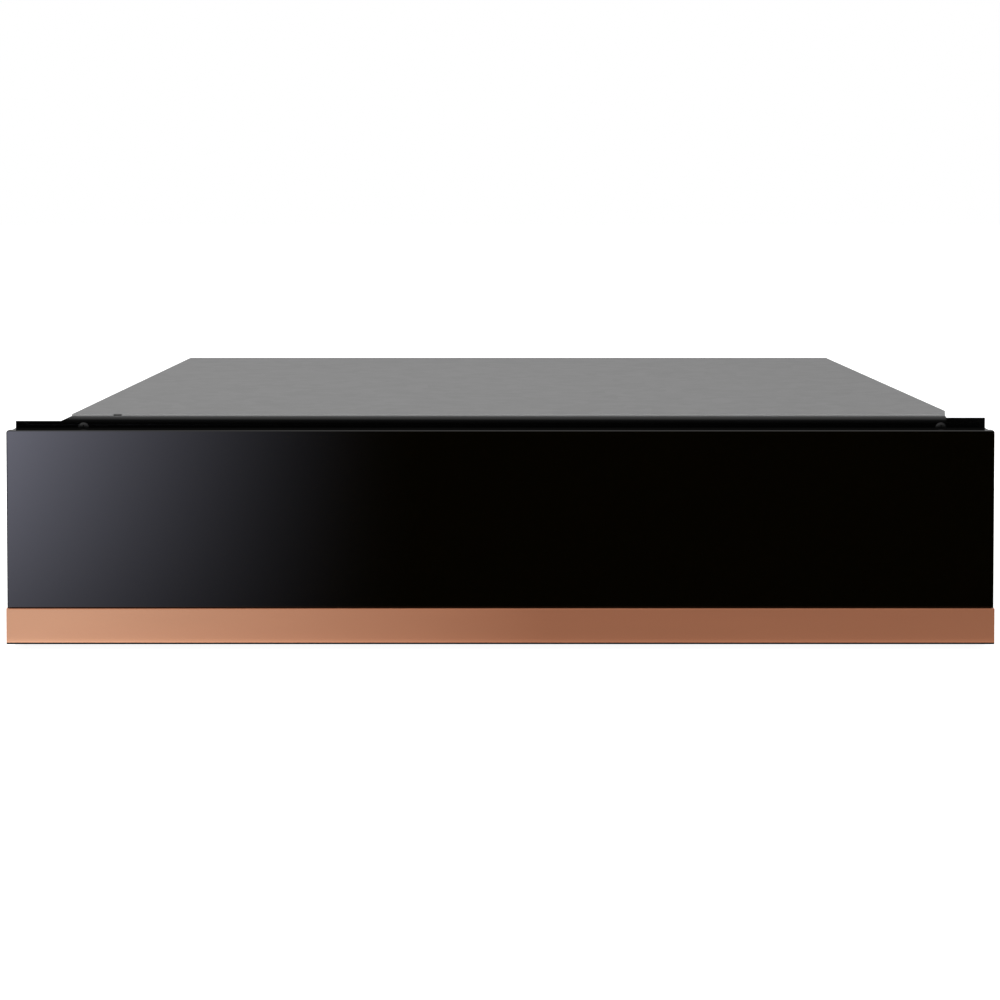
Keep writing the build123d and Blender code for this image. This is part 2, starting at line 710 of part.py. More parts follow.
bend_back = Vector(0, ELEMENT_BEND, 0)
lead_feet = []
for angle, way in zip(element_angles, (-1, 1)):
    lead_feet.append(ring_point(angle) + ring_tangent(angle) * (way * ELEMENT_BEND) + bend_back)
lead_points = [(foot.X, foot.Z) for foot in lead_feet]
with BuildPart() as heater_box:
    with BuildSketch(front_plane(baffle_back_y)):
        with Locations((0, fan_z)):
            Rectangle(2 * PLENUM_HALF_WIDTH, plenum_height)
    extrude(amount=-PLENUM_DEPTH)
    offset(amount=-SHEET, openings=heater_box.faces().sort_by(Axis.Y)[0])
    with BuildSketch(front_plane(baffle_back_y)):
        with Locations((0, fan_z)):
            Rectangle(2 * (PLENUM_HALF_WIDTH + PLENUM_FLANGE), plenum_height)
            Rectangle(2 * (PLENUM_HALF_WIDTH - SHEET), plenum_height, mode=Mode.SUBTRACT)
    extrude(amount=-SHEET)
    drill(front_plane(plenum_rear_y), [(0, fan_z)], IMPELLER_HUB_RADIUS, SHEET)
    drill(front_plane(plenum_rear_y), lead_points, ELEMENT_TUBE + ELEMENT_HOLE_CLEARANCE, SHEET)
finished["heater_box"] = heater_box.part

# Tubular heating element: a ring round the fan with both leads bent back
with BuildPart() as heating_element:
    with BuildLine() as element_route:
        first, last = element_angles
        middle_angle = (first + last) / 2
        half_turn = ELEMENT_BEND * (1 - cos(radians(UPRIGHT / 2)))
        for angle, way, foot in zip(element_angles, (-1, 1), lead_feet):
            knee = ring_point(angle)
            along = ring_tangent(angle) * way
            bend_middle = knee + along * (ELEMENT_BEND - half_turn) + Vector(0, half_turn, 0)
            Line((foot.X, plenum_rear_y + ELEMENT_LEAD, foot.Z), foot)
            ThreePointArc(foot, bend_middle, knee)
        ThreePointArc(ring_point(first), ring_point(middle_angle), ring_point(last))
    route_start = (lead_feet[0].X, plenum_rear_y + ELEMENT_LEAD, lead_feet[0].Z)
    with BuildSketch(Plane(origin=route_start, z_dir=(0, -1, 0))):
        Circle(ELEMENT_TUBE)
    sweep()
finished["heating_element"] = heating_element.part

# Fan motor: mounting plate, lamination stack, coil and end bell
with BuildPart() as fan_motor:
    with BuildSketch(front_plane(plenum_rear_y)):
        with Locations((0, fan_z)):
            RectangleRounded(MOTOR_PLATE_WIDTH, MOTOR_PLATE_HEIGHT, MOTOR_CORNER)
    extrude(amount=-MOTOR_PLATE)
    with BuildSketch(front_plane(plenum_rear_y)):
        with Locations((0, fan_z)):
            Circle(MOTOR_BELL_RADIUS)
    extrude(amount=-MOTOR_LENGTH)
    with BuildSketch(front_plane(plenum_rear_y + MOTOR_STACK_START)):
        with Locations((0, fan_z)):
            RectangleRounded(MOTOR_WIDTH, MOTOR_HEIGHT, MOTOR_CORNER)
    extrude(amount=-MOTOR_STACK)
    coil_y = plenum_rear_y + MOTOR_STACK_START + MOTOR_STACK / 2
    with BuildSketch(Plane(origin=(-COIL_LENGTH / 2, coil_y, fan_z - MOTOR_HEIGHT / 2), z_dir=(1, 0, 0))):
        Circle(COIL_RADIUS)
    extrude(amount=COIL_LENGTH)
    drill(
        front_plane(plenum_rear_y),
        [(0, fan_z)],
        MOTOR_SHAFT_RADIUS + MOTOR_SHAFT_CLEARANCE,
        MOTOR_SHAFT_INSIDE + SHAFT_SPACE,
    )
finished["fan_motor"] = fan_motor.part

# Fan impeller: back disc, leaning blades, hub and shaft
impeller_y = baffle_back_y + IMPELLER_START
disc_y = impeller_y + IMPELLER_BLADE_DEPTH
blade_length = impeller_radius - IMPELLER_EYE
with BuildPart() as fan_impeller:
    with BuildSketch(axle_plane(0, disc_y, fan_z)):
        Circle(impeller_radius)
    extrude(amount=IMPELLER_DISC)
    with BuildSketch(axle_plane(0, impeller_y, fan_z)):
        with PolarLocations((impeller_radius + IMPELLER_EYE) / 2, IMPELLER_BLADES):
            Rectangle(blade_length, IMPELLER_BLADE_WALL, rotation=IMPELLER_BLADE_LEAN)
    extrude(amount=IMPELLER_BLADE_DEPTH)
    with BuildSketch(axle_plane(0, disc_y - IMPELLER_HUB_RADIUS, fan_z)):
        Circle(IMPELLER_HUB_RADIUS - SHAFT_SPACE)
    extrude(amount=IMPELLER_HUB_RADIUS)
    with BuildSketch(axle_plane(0, disc_y, fan_z)):
        Circle(MOTOR_SHAFT_RADIUS)
    extrude(amount=plenum_rear_y + MOTOR_SHAFT_INSIDE - disc_y)
finished["fan_impeller"] = fan_impeller.part

# Safety cut-out on top of the heater box
cutout_y = (baffle_back_y + plenum_rear_y) / 2
with BuildPart() as safety_cutout:
    with BuildSketch(Plane.XY.offset(plenum_top)):
        with Locations((0, cutout_y)):
            SlotOverall(CUTOUT_FLANGE_LENGTH, 2 * CUTOUT_RADIUS)
    extrude(amount=CUTOUT_FLANGE)
    with BuildSketch(Plane.XY.offset(plenum_top)):
        with Locations((0, cutout_y)):
            Circle(CUTOUT_RADIUS)
    extrude(amount=CUTOUT_HEIGHT)
    with BuildSketch(Plane.XY.offset(plenum_top + CUTOUT_HEIGHT)):
        with Locations(*[(place, cutout_y) for place in row(2, CUTOUT_TAB_SPACING)]):
            Rectangle(CUTOUT_TAB_WALL, CUTOUT_TAB)
    extrude(amount=CUTOUT_TAB_RISE)
finished["safety_cutout"] = safety_cutout.part

# Control fascia: moulded insert with a round dish for the knob
fascia_front_y = frame_front_y - FASCIA_PROUD
dish_floor_y = fascia_front_y + DISH_DEPTH
with BuildPart() as control_fascia:
    with BuildSketch(front_plane(fascia_front_y)):
        with Locations((fascia_x, fascia_z)):
            RectangleRounded(FASCIA_WIDTH, fascia_height, FASCIA_RADIUS)
    extrude(amount=-FASCIA_PROUD)
    with BuildSketch(front_plane(frame_front_y)):
        with Locations((fascia_x, fascia_z)):
            Rectangle(fascia_cut_width - 2 * FASCIA_FIT, fascia_cut_height - 2 * FASCIA_FIT)
            Rectangle(
                fascia_cut_width - 2 * FASCIA_FIT - 2 * FASCIA_WALL,
                fascia_cut_height - 2 * FASCIA_FIT - 2 * FASCIA_WALL,
                mode=Mode.SUBTRACT,
            )
    extrude(amount=-FASCIA_DEPTH)
    with BuildSketch(axle_plane(fascia_x, fascia_front_y, knob_z)):
        Circle(DISH_RADIUS + FASCIA_WALL)
    extrude(amount=DISH_DEPTH + FASCIA_WALL, taper=DISH_TAPER)
    with BuildSketch(axle_plane(fascia_x, fascia_front_y, knob_z)):
        Circle(DISH_RADIUS)
    extrude(amount=DISH_DEPTH, taper=DISH_TAPER, mode=Mode.SUBTRACT)
    drill(
        front_plane(dish_floor_y),
        [(fascia_x, knob_z)],
        THERMOSTAT_BUSH_RADIUS + FASCIA_FIT,
        2 * FASCIA_WALL,
    )
    with BuildSketch(front_plane(fascia_front_y)):
        with Locations((fascia_x, switch_z)):
            Rectangle(SWITCH_WIDTH, SWITCH_HEIGHT)
        with Locations((fascia_x, lamp_z)):
            Circle(LAMP_RADIUS + LAMP_FIT)
    extrude(amount=-FASCIA_DEPTH - FASCIA_PROUD, mode=Mode.SUBTRACT)
finished["control_fascia"] = control_fascia.part

# Thermostat: body behind the dish, with a bush that the knob's shaft turns in
thermostat_front_y = dish_floor_y + FASCIA_WALL
thermostat_rear_y = thermostat_front_y + THERMOSTAT_DEPTH
with BuildPart() as thermostat_body:
    with BuildSketch(front_plane(thermostat_front_y)):
        with Locations((fascia_x, knob_z)):
            RectangleRounded(THERMOSTAT_WIDTH, THERMOSTAT_HEIGHT, FASCIA_RADIUS)
    extrude(amount=-THERMOSTAT_DEPTH)
    with BuildSketch(axle_plane(fascia_x, thermostat_front_y - THERMOSTAT_BUSH_LENGTH, knob_z)):
        Circle(THERMOSTAT_BUSH_RADIUS)
    extrude(amount=THERMOSTAT_BUSH_LENGTH)
    drill(
        front_plane(thermostat_front_y),
        [(fascia_x, knob_z)],
        SHAFT_RADIUS + SHAFT_CLEARANCE,
        SHAFT_INSIDE + SHAFT_SPACE,
    )
finished["thermostat_body"] = thermostat_body.part

# Knob and its shaft
knob_front_y = fascia_front_y + KNOB_RECESS
knob_back_y = knob_front_y + KNOB_LENGTH
with BuildPart() as thermostat_knob:
    with BuildSketch(axle_plane(fascia_x, knob_front_y, knob_z)):
        Circle(KNOB_RADIUS)
        with PolarLocations(KNOB_RADIUS, KNOB_FLUTES):
            Circle(KNOB_FLUTE_RADIUS, mode=Mode.SUBTRACT)
    extrude(amount=KNOB_LENGTH)
    with BuildSketch(axle_plane(fascia_x, knob_front_y, knob_z)):
        with Locations((0, (KNOB_RADIUS + KNOB_GRIP_RADIUS) / 2)):
            SlotOverall(KNOB_RADIUS, KNOB_GRIP_RADIUS, rotation=UPRIGHT)
    extrude(amount=KNOB_EDGE, mode=Mode.SUBTRACT)
    drill(
        front_plane(knob_back_y),
        [(fascia_x, knob_z)],
        SHAFT_RADIUS + SHAFT_CLEARANCE,
        SHAFT_GRIP,
    )
finished["thermostat_knob"] = thermostat_knob.part
with BuildPart() as thermostat_shaft:
    with BuildSketch(axle_plane(fascia_x, knob_back_y - SHAFT_GRIP, knob_z)):
        Circle(SHAFT_RADIUS)
    extrude(amount=thermostat_front_y + SHAFT_INSIDE - knob_back_y + SHAFT_GRIP)
finished["thermostat_shaft"] = thermostat_shaft.part

# Capillary of the thermostat, with its bulb held against the cavity wall
bulb_x = cavity_outer + BULB_RADIUS
bulb_y = thermostat_rear_y + BULB_START
capillary_x = fascia_x - CAPILLARY_OFFSET
bend_y = thermostat_rear_y + CAPILLARY_RUN
capillary_points = [
    (capillary_x, thermostat_rear_y, knob_z),
    (capillary_x, bend_y, knob_z),
    (bulb_x, bend_y + CAPILLARY_SLOPE, knob_z),
    (bulb_x, bulb_y, knob_z),
]
with BuildPart() as thermostat_capillary:
    add(wire(capillary_points, CAPILLARY_RADIUS, CAPILLARY_BEND))
    with BuildSketch(axle_plane(bulb_x, bulb_y, knob_z)):
        Circle(BULB_RADIUS)
    extrude(amount=BULB_LENGTH)
finished["thermostat_capillary"] = thermostat_capillary.part

# Rocker switch
switch_front_y = fascia_front_y + SWITCH_RECESS
pivot_y = switch_front_y + ROCKER_PIVOT_DEPTH
switch_inner_half = SWITCH_WIDTH / 2 - SWITCH_WALL
with BuildPart() as switch_body:
    with BuildSketch(front_plane(switch_front_y)):
        with Locations((fascia_x, switch_z)):
            Rectangle(SWITCH_WIDTH, SWITCH_HEIGHT)
    extrude(amount=-SWITCH_DEPTH)
    with BuildSketch(front_plane(switch_front_y)):
        with Locations((fascia_x, switch_z)):
            Rectangle(2 * switch_inner_half, SWITCH_HEIGHT - 2 * SWITCH_WALL)
    extrude(amount=-SWITCH_CAVITY, mode=Mode.SUBTRACT)
    drill(
        Plane(origin=(fascia_x, pivot_y, switch_z), z_dir=(1, 0, 0)),
        [(0, 0)],
        ROCKER_PIN_RADIUS + ROCKER_PIN_CLEARANCE,
        switch_inner_half + ROCKER_PIN_REACH + ROCKER_PIN_CLEARANCE,
    )
finished["switch_body"] = switch_body.part
rocker_half_width = switch_inner_half - ROCKER_SIDE_CLEARANCE
tilt = radians(ROCKER_TILT)
rocker_outline = [
    (-ROCKER_FACE, ROCKER_HALF_HEIGHT),
    (-ROCKER_FACE + ROCKER_DISH, 0),
    (-ROCKER_FACE, -ROCKER_HALF_HEIGHT),
    (0, -ROCKER_HALF_HEIGHT),
    (ROCKER_BACK, 0),
    (0, ROCKER_HALF_HEIGHT),
]
with BuildPart() as switch_rocker:
    rocker_plane = Plane(
        origin=(fascia_x - rocker_half_width, pivot_y, switch_z),
        x_dir=(0, cos(tilt), sin(tilt)),
        z_dir=(1, 0, 0),
    )
    with BuildSketch(rocker_plane):
        with BuildLine():
            Polyline(*rocker_outline, close=True)
        make_face()
    extrude(amount=2 * rocker_half_width)
    with BuildSketch(Plane(origin=(fascia_x, pivot_y, switch_z), z_dir=(1, 0, 0))):
        Circle(ROCKER_PIN_RADIUS)
    extrude(amount=switch_inner_half + ROCKER_PIN_REACH, both=True)
finished["switch_rocker"] = switch_rocker.part

# Pilot lamp
with BuildPart() as pilot_lamp:
    with BuildSketch(axle_plane(fascia_x, fascia_front_y - LAMP_PROUD, lamp_z)):
        Circle(LAMP_RADIUS)
    extrude(amount=LAMP_LENGTH)
    with BuildSketch(axle_plane(fascia_x, frame_front_y, lamp_z)):
        Circle(LAMP_RADIUS + LAMP_COLLAR)
    extrude(amount=LAMP_COLLAR)
    fillet(pilot_lamp.edges().filter_by(GeomType.CIRCLE).sort_by(Axis.Y)[0], LAMP_PROUD)
finished["pilot_lamp"] = pilot_lamp.part

# Glass of the drawer front
glass_bottom = strip_top + STRIP_JOINT
glass_middle = (glass_bottom + front_top) / 2
with BuildPart() as front_glass:
    with BuildSketch(front_plane(glass_back_y)) as pane:
        with Locations((0, glass_middle)):
            Rectangle(glass_width, front_top - glass_bottom)
        fillet(pane.vertices().group_by(Axis.Y)[-1], GLASS_RADIUS)
    extrude(amount=GLASS_THICKNESS)
    chamfer(front_glass.faces().sort_by(Axis.Y)[0].edges(), GLASS_EDGE)
finished["front_glass"] = front_glass.part

# Trim strip: an angle whose lower leg runs back under the panel
strip_points = [
    (front_y, FRONT_BOTTOM),
    (panel_rear_y, FRONT_BOTTOM),
    (panel_rear_y, panel_bottom),
    (panel_front_y, panel_bottom),
    (panel_front_y, strip_top),
    (front_y, strip_top),
]
with BuildPart() as trim_strip:
    with BuildSketch(Plane.YZ.offset(-FRONT_WIDTH / 2)):
        with BuildLine():
            Polyline(*strip_points, close=True)
        make_face()
    extrude(amount=FRONT_WIDTH)
    fillet(trim_strip.edges().filter_by(Axis.X).group_by(Axis.Y)[0].sort_by(Axis.Z)[0], STRIP_EDGE)
    fillet(trim_strip.edges().filter_by(Axis.X).group_by(Axis.Y)[0].sort_by(Axis.Z)[-1], STRIP_TOP_EDGE)
finished["trim_strip"] = trim_strip.part

# Panel behind the glass: a folded tray, open at the back
panel_height = panel_top - panel_bottom
panel_middle = (panel_top + panel_bottom) / 2
with BuildPart() as front_panel:
    with BuildSketch(front_plane(panel_rear_y)):
        with Locations((0, panel_middle)):
            RectangleRounded(panel_width, panel_height, PANEL_RADIUS)
    extrude(amount=PANEL_DEPTH)
    offset(amount=-SHEET, openings=front_panel.faces().sort_by(Axis.Y)[-1])
finished["front_panel"] = front_panel.part

# Bonding pads between the glass and the panel
pad_reach = glass_width / 2 - PAD_MARGIN
pad_low = glass_bottom + PAD_MARGIN
pad_high = front_top - PAD_MARGIN
with BuildPart() as glass_bond_pads:
    for low_z in (pad_low, pad_high - PAD_WIDTH):
        block((-pad_reach, glass_back_y, low_z), (pad_reach, panel_front_y, low_z + PAD_WIDTH))
finished["glass_bond_pads"] = glass_bond_pads.part

# Inner panel that closes the back of the front
inner_width = panel_width - 2 * (SHEET + INNER_PANEL_CLEARANCE)
inner_height = panel_height - 2 * (SHEET + INNER_PANEL_CLEARANCE)
with BuildPart() as front_inner_panel:
    with BuildSketch(front_plane(panel_rear_y)):
        with Locations((0, panel_middle)):
            Rectangle(inner_width, inner_height)
    extrude(amount=SHEET)
    drill(front_plane(panel_rear_y), tub_screw_points, screw_hole, SHEET)
finished["front_inner_panel"] = front_inner_panel.part

# Rubber buffers on the back of the front
buffer_points = []
for side in (-1, 1):
    for height in (panel_bottom + BUFFER_INSET, panel_top - BUFFER_INSET):
        buffer_points.append((side * (panel_width / 2 - BUFFER_INSET), height))
with BuildPart() as front_buffers:
    with BuildSketch(front_plane(panel_rear_y)):
        with Locations(*buffer_points):
            Circle(BUFFER_RADIUS)
    extrude(amount=-BUFFER_HEIGHT)
finished["front_buffers"] = front_buffers.part

# Drawer tub: a pressed tray with a rolled rim
tub_middle_y = (panel_rear_y + tub_rear_y) / 2
tub_vents = [(place, TUB_VENT_Z) for place in row(TUB_VENT_COUNT, TUB_VENT_SPACING)]
with BuildPart() as drawer_tub:
    with BuildSketch(Plane.XY.offset(TUB_BOTTOM)):
        with Locations((0, tub_middle_y)):
            RectangleRounded(2 * tub_half, tub_depth, TUB_CORNER)
    extrude(amount=tub_top - TUB_BOTTOM)
    fillet(drawer_tub.faces().sort_by(Axis.Z)[0].edges(), TUB_FLOOR_RADIUS)
    offset(amount=-TUB_WALL, openings=drawer_tub.faces().sort_by(Axis.Z)[-1])
    slots(front_plane(tub_rear_y), tub_vents, TUB_VENT_LENGTH, TUB_VENT_WIDTH, LEVEL, 2 * TUB_WALL)
    drill(front_plane(panel_rear_y), tub_screw_points, screw_hole, 2 * TUB_WALL)
    for side in (-1, 1):
        rim_line = [
            (side * (tub_half - TUB_WALL / 2), tub_top - TUB_RIM_DROP),
            (side * (tub_half - TUB_WALL / 2), tub_top - TUB_WALL / 2),
            (side * (tub_half + TUB_RIM), tub_top - TUB_WALL / 2),
            (side * (tub_half + TUB_RIM), tub_top - TUB_RIM_DROP),
        ]
        rim_length = tub_depth - 2 * TUB_CORNER
        folded_sheet(front_plane(tub_rear_y - TUB_CORNER), rim_line, rim_length, thickness=TUB_WALL)
finished["drawer_tub"] = drawer_tub.part

# Mat on the tub's floor
mat_bottom = TUB_BOTTOM + TUB_WALL
mat_inset = TUB_FLOOR_RADIUS + MAT_MARGIN
with BuildPart() as base_mat:
    with BuildSketch(Plane.XY.offset(mat_bottom)):
        with Locations((0, tub_middle_y)):
            RectangleRounded(
                2 * (tub_half - mat_inset),
                tub_depth - 2 * mat_inset,
                TUB_CORNER - MAT_MARGIN,
            )
    extrude(amount=MAT_THICKNESS)
finished["base_mat"] = base_mat.part

# Striker plates on the tub's back
with BuildPart() as latch_strikers:
    with BuildSketch(front_plane(tub_rear_y)):
        with Locations(*latch_points):
            RectangleRounded(STRIKER_SIZE, STRIKER_SIZE, STRIKER_THICKNESS)
    extrude(amount=-STRIKER_THICKNESS)
finished["latch_strikers"] = latch_strikers.part

# Ball runners, drawn in section from the cavity wall towards the tub
runner_half = RUNNER_HEIGHT / 2
middle_half = runner_half - OUTER_WALL - OUTER_RACE
inner_half = middle_half - MIDDLE_WALL - INNER_RACE
cage_length = runner_length / 2 - CAGE_SHORTER
cage_start_y = runner_front_y + (runner_length - cage_length) / 2


def runner_plane(side, y):
    """Section plane of a runner: sketch X runs inwards from the cavity wall."""
    return Plane(origin=(side * cavity_half, y, RUNNER_Z), x_dir=(-side, 0, 0), z_dir=(0, 1, 0))


def channel(side, web, lip, half_height, wall):
    """Runner member: a channel with its web at one depth and its lips at another."""
    edge = half_height - wall / 2
    line = [(lip, edge), (web, edge), (web, -edge), (lip, -edge)]
    middle_y = runner_front_y + runner_length / 2
    holes = [(middle_y + place, RUNNER_Z) for place in row(RUNNER_HOLES, RUNNER_HOLE_PITCH)]
    with BuildPart() as member:
        folded_sheet(runner_plane(side, runner_front_y), line, runner_length, thickness=wall)
        drill(Plane.YZ.offset(side * (cavity_half - web)), holes, RUNNER_HOLE_RADIUS, wall)
    return member.part


def ball_cage(side, web, race, race_edge):
    """Ball cage: a bent strip with a row of balls along its upper and lower edges."""
    ball_radius = race / 2 - RACE_CLEARANCE
    ball_v = race_edge - race / 2
    ball_u = web + BALL_INSET
    tip = web + CAGE_STRIP
    line = [(tip, ball_v), (web, ball_v), (web, -ball_v), (tip, -ball_v)]
    middle_y = cage_start_y + cage_length / 2
    stations = [middle_y + place for place in row(BALLS_PER_ROW, BALL_SPACING)]
    with BuildPart() as cage:
        folded_sheet(runner_plane(side, cage_start_y), line, cage_length, thickness=CAGE_WALL)
        pockets = [(side * (cavity_half - ball_u), station) for station in stations]
        drill(Plane.XY.offset(RUNNER_Z), pockets, ball_radius + BALL_POCKET_CLEARANCE, runner_half)
        for station in stations:
            for rise in (-ball_v, ball_v):
                with Locations((side * (cavity_half - ball_u), station, RUNNER_Z + rise)):
                    Sphere(ball_radius)
    return cage.part


outer_web = OUTER_WALL / 2
middle_web = MIDDLE_STANDOFF + MIDDLE_WALL / 2
inner_web = RUNNER_THICKNESS - INNER_WALL / 2
outer_cage_web = OUTER_WALL + CAGE_SPACE + CAGE_WALL / 2
inner_cage_web = MIDDLE_STANDOFF + MIDDLE_WALL + CAGE_SPACE + CAGE_WALL / 2
middle_lip = MIDDLE_STANDOFF + MIDDLE_CHANNEL_DEPTH
inner_lip = RUNNER_THICKNESS - INNER_CHANNEL_DEPTH
for name, side in (("left", -1), ("right", 1)):
    outer = channel(side, outer_web, OUTER_CHANNEL_DEPTH, runner_half, OUTER_WALL)
    finished["runner_outer_" + name] = outer
    middle = channel(side, middle_web, middle_lip, middle_half, MIDDLE_WALL)
    finished["runner_middle_" + name] = middle
    inner = channel(side, inner_web, inner_lip, inner_half, INNER_WALL)
    finished["runner_inner_" + name] = inner
    outer_cage = ball_cage(side, outer_cage_web, OUTER_RACE, runner_half - OUTER_WALL)
    finished["outer_cage_" + name] = outer_cage
    inner_cage = ball_cage(side, inner_cage_web, INNER_RACE, middle_half - MIDDLE_WALL)
    finished["inner_cage_" + name] = inner_cage

# Push latches behind the baffle, with their plungers
plunger_bore = PLUNGER_RADIUS + PLUNGER_CLEARANCE
plunger_end_y = baffle_back_y + PLUNGER_INSIDE
bore_depth = PLUNGER_INSIDE + PLUNGER_TRAVEL + PLUNGER_GAP
with BuildPart() as latch_bodies:
    with BuildSketch(front_plane(baffle_back_y)):
        with Locations(*latch_points):
            Rectangle(LATCH_FLANGE_WIDTH, LATCH_FLANGE_HEIGHT)
    extrude(amount=-LATCH_FLANGE)
    with BuildSketch(front_plane(baffle_back_y)):
        with Locations(*latch_points):
            RectangleRounded(LATCH_WIDTH, LATCH_HEIGHT, LATCH_FLANGE)
    extrude(amount=-LATCH_LENGTH)
    drill(front_plane(baffle_back_y), latch_points, plunger_bore, bore_depth)
finished["latch_bodies"] = latch_bodies.part
with BuildPart() as latch_plungers:
    for place, height in latch_points:
        with BuildSketch(axle_plane(place, plunger_tip_y, height)) as tip:
            Circle(PLUNGER_HEAD_RADIUS)
        extrude(tip.sketch, amount=PLUNGER_HEAD)
        with BuildSketch(axle_plane(place, plunger_tip_y, height)) as stem:
            Circle(PLUNGER_RADIUS)
        extrude(stem.sketch, amount=plunger_end_y - plunger_tip_y)
finished["latch_plungers"] = latch_plungers.part

# Wiring loom along the right-hand side, with its clips
clip_radius = LOOM_RADIUS + CLIP_FIT + CLIP_WALL
loom_x = right_inner - clip_radius
switch_rear_y = switch_front_y + SWITCH_DEPTH
terminal_right = TERMINAL_X + TERMINAL_WIDTH / 2
terminal_y = rear_panel_inner_y - TERMINAL_DEPTH / 2
loom_points = [
    (fascia_x, switch_rear_y, switch_z),
    (fascia_x, switch_rear_y + LOOM_RUN, switch_z),
    (loom_x, switch_rear_y + LOOM_RUN + LOOM_SLOPE, switch_z),
    (loom_x, terminal_y, switch_z),
    (terminal_right, terminal_y, switch_z),
]
finished["wiring_loom"] = wire(loom_points, LOOM_RADIUS, LOOM_BEND)
with BuildPart() as loom_clips:
    for place in row(CLIP_COUNT, CLIP_SPACING):
        with BuildSketch(axle_plane(loom_x, place, switch_z)) as clip:
            Circle(clip_radius)
            with Locations((-(right_inner - loom_x) / 2, 0)):
                Rectangle(right_inner - loom_x, clip_radius)
            Circle(LOOM_RADIUS + CLIP_FIT, mode=Mode.SUBTRACT)
        extrude(clip.sketch, amount=CLIP_LENGTH)
finished["loom_clips"] = loom_clips.part

# Terminal block on the rear panel
with BuildPart() as terminal_block:
    with BuildSketch(front_plane(rear_panel_inner_y)):
        with Locations((TERMINAL_X, switch_z)):
            RectangleRounded(TERMINAL_WIDTH, TERMINAL_HEIGHT, LATCH_FLANGE)
    extrude(amount=TERMINAL_DEPTH)
    ways = []
    for place in row(TERMINAL_WAYS, TERMINAL_WIDTH / TERMINAL_WAYS):
        ways.append((TERMINAL_X + place, switch_z))
    drill(front_plane(rear_panel_inner_y - TERMINAL_DEPTH), ways, TERMINAL_WAY_RADIUS, TERMINAL_WAY_DEPTH)
finished["terminal_block"] = terminal_block.part

# Leads from the terminal block to the motor, the heating element and the safety cut-out
terminal_left = TERMINAL_X - TERMINAL_WIDTH / 2
terminal_top = switch_z + TERMINAL_HEIGHT / 2
element_end_y = plenum_rear_y + ELEMENT_LEAD
tail_y = element_end_y + LEAD_TAIL
tab_z = plenum_top + CUTOUT_HEIGHT + CUTOUT_TAB_RISE / 2
tab_x = (CUTOUT_TAB_SPACING + CUTOUT_TAB_WALL) / 2
right_foot, left_foot = lead_feet
motor_lead = [
    (terminal_left, terminal_y, switch_z),
    (LEAD_SPAN, terminal_y, switch_z),
    (MOTOR_WIDTH / 2 + LEAD_TAIL, coil_y, fan_z - LEAD_TAIL),
    (MOTOR_WIDTH / 2, coil_y, fan_z - LEAD_TAIL),
]
element_lead = [
    (right_foot.X, element_end_y, right_foot.Z),
    (right_foot.X, tail_y, right_foot.Z),
    (LEAD_SPAN, terminal_y, right_foot.Z + LEAD_TAIL),
    (terminal_left, terminal_y, right_foot.Z + LEAD_TAIL),
]
cutout_lead = [
    (tab_x, cutout_y, tab_z),
    (LEAD_SPAN, cutout_y, tab_z),
    (2 * LEAD_SPAN, tail_y, tab_z - LEAD_BEND),
    (TERMINAL_X, terminal_y, terminal_top + LEAD_SPAN / 2),
    (TERMINAL_X, terminal_y, terminal_top),
]
series_lead = [
    (left_foot.X, element_end_y, left_foot.Z),
    (left_foot.X, tail_y, left_foot.Z),
    (-LEAD_SPAN, tail_y, left_foot.Z + LEAD_TAIL),
    (-LEAD_SPAN, tail_y, tab_z),
    (-LEAD_SPAN, cutout_y, tab_z),
    (-tab_x, cutout_y, tab_z),
]
with BuildPart() as heater_leads:
    for route in (motor_lead, element_lead, cutout_lead, series_lead):
        add(wire(route, LEAD_RADIUS, LEAD_BEND))
finished["heater_leads"] = heater_leads.part

# Gland in the rear panel
with BuildPart() as cable_gland:
    with BuildSketch(axle_plane(GLAND_X, rear_panel_outer_y, GLAND_Z)):
        Circle(GLAND_FLANGE_RADIUS)
    extrude(amount=GLAND_FLANGE)
    with BuildSketch(axle_plane(GLAND_X, rear_panel_outer_y, GLAND_Z)):
        Circle(GLAND_RADIUS)
    extrude(amount=-GLAND_LENGTH)
    drill(front_plane(rear_panel_outer_y), [(GLAND_X, GLAND_Z)], GLAND_BORE, 2 * GLAND_LENGTH)
finished["cable_gland"] = cable_gland.part

# Screws
finished["frame_screws"] = screws([axle_plane(x, frame_front_y, z) for x, z in frame_screw_points])
rear_planes = [Plane(origin=(x, rear_panel_outer_y, z), z_dir=(0, -1, 0)) for x, z in rear_screw_points]
lip_planes = [Plane(origin=(x, cover_rear_y, z), z_dir=(0, -1, 0)) for x, z in cover_screw_points]
finished["rear_screws"] = screws(rear_planes + lip_planes)
tub_planes = []
for x, z in tub_screw_points:
    tub_planes.append(Plane(origin=(x, panel_rear_y + TUB_WALL, z), z_dir=(0, -1, 0)))
finished["tub_screws"] = screws(tub_planes)

os.makedirs("parts", exist_ok=True)
for name, part in finished.items():
    part.label = name
    export_step(part, "parts/" + name + ".step")
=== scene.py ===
import math

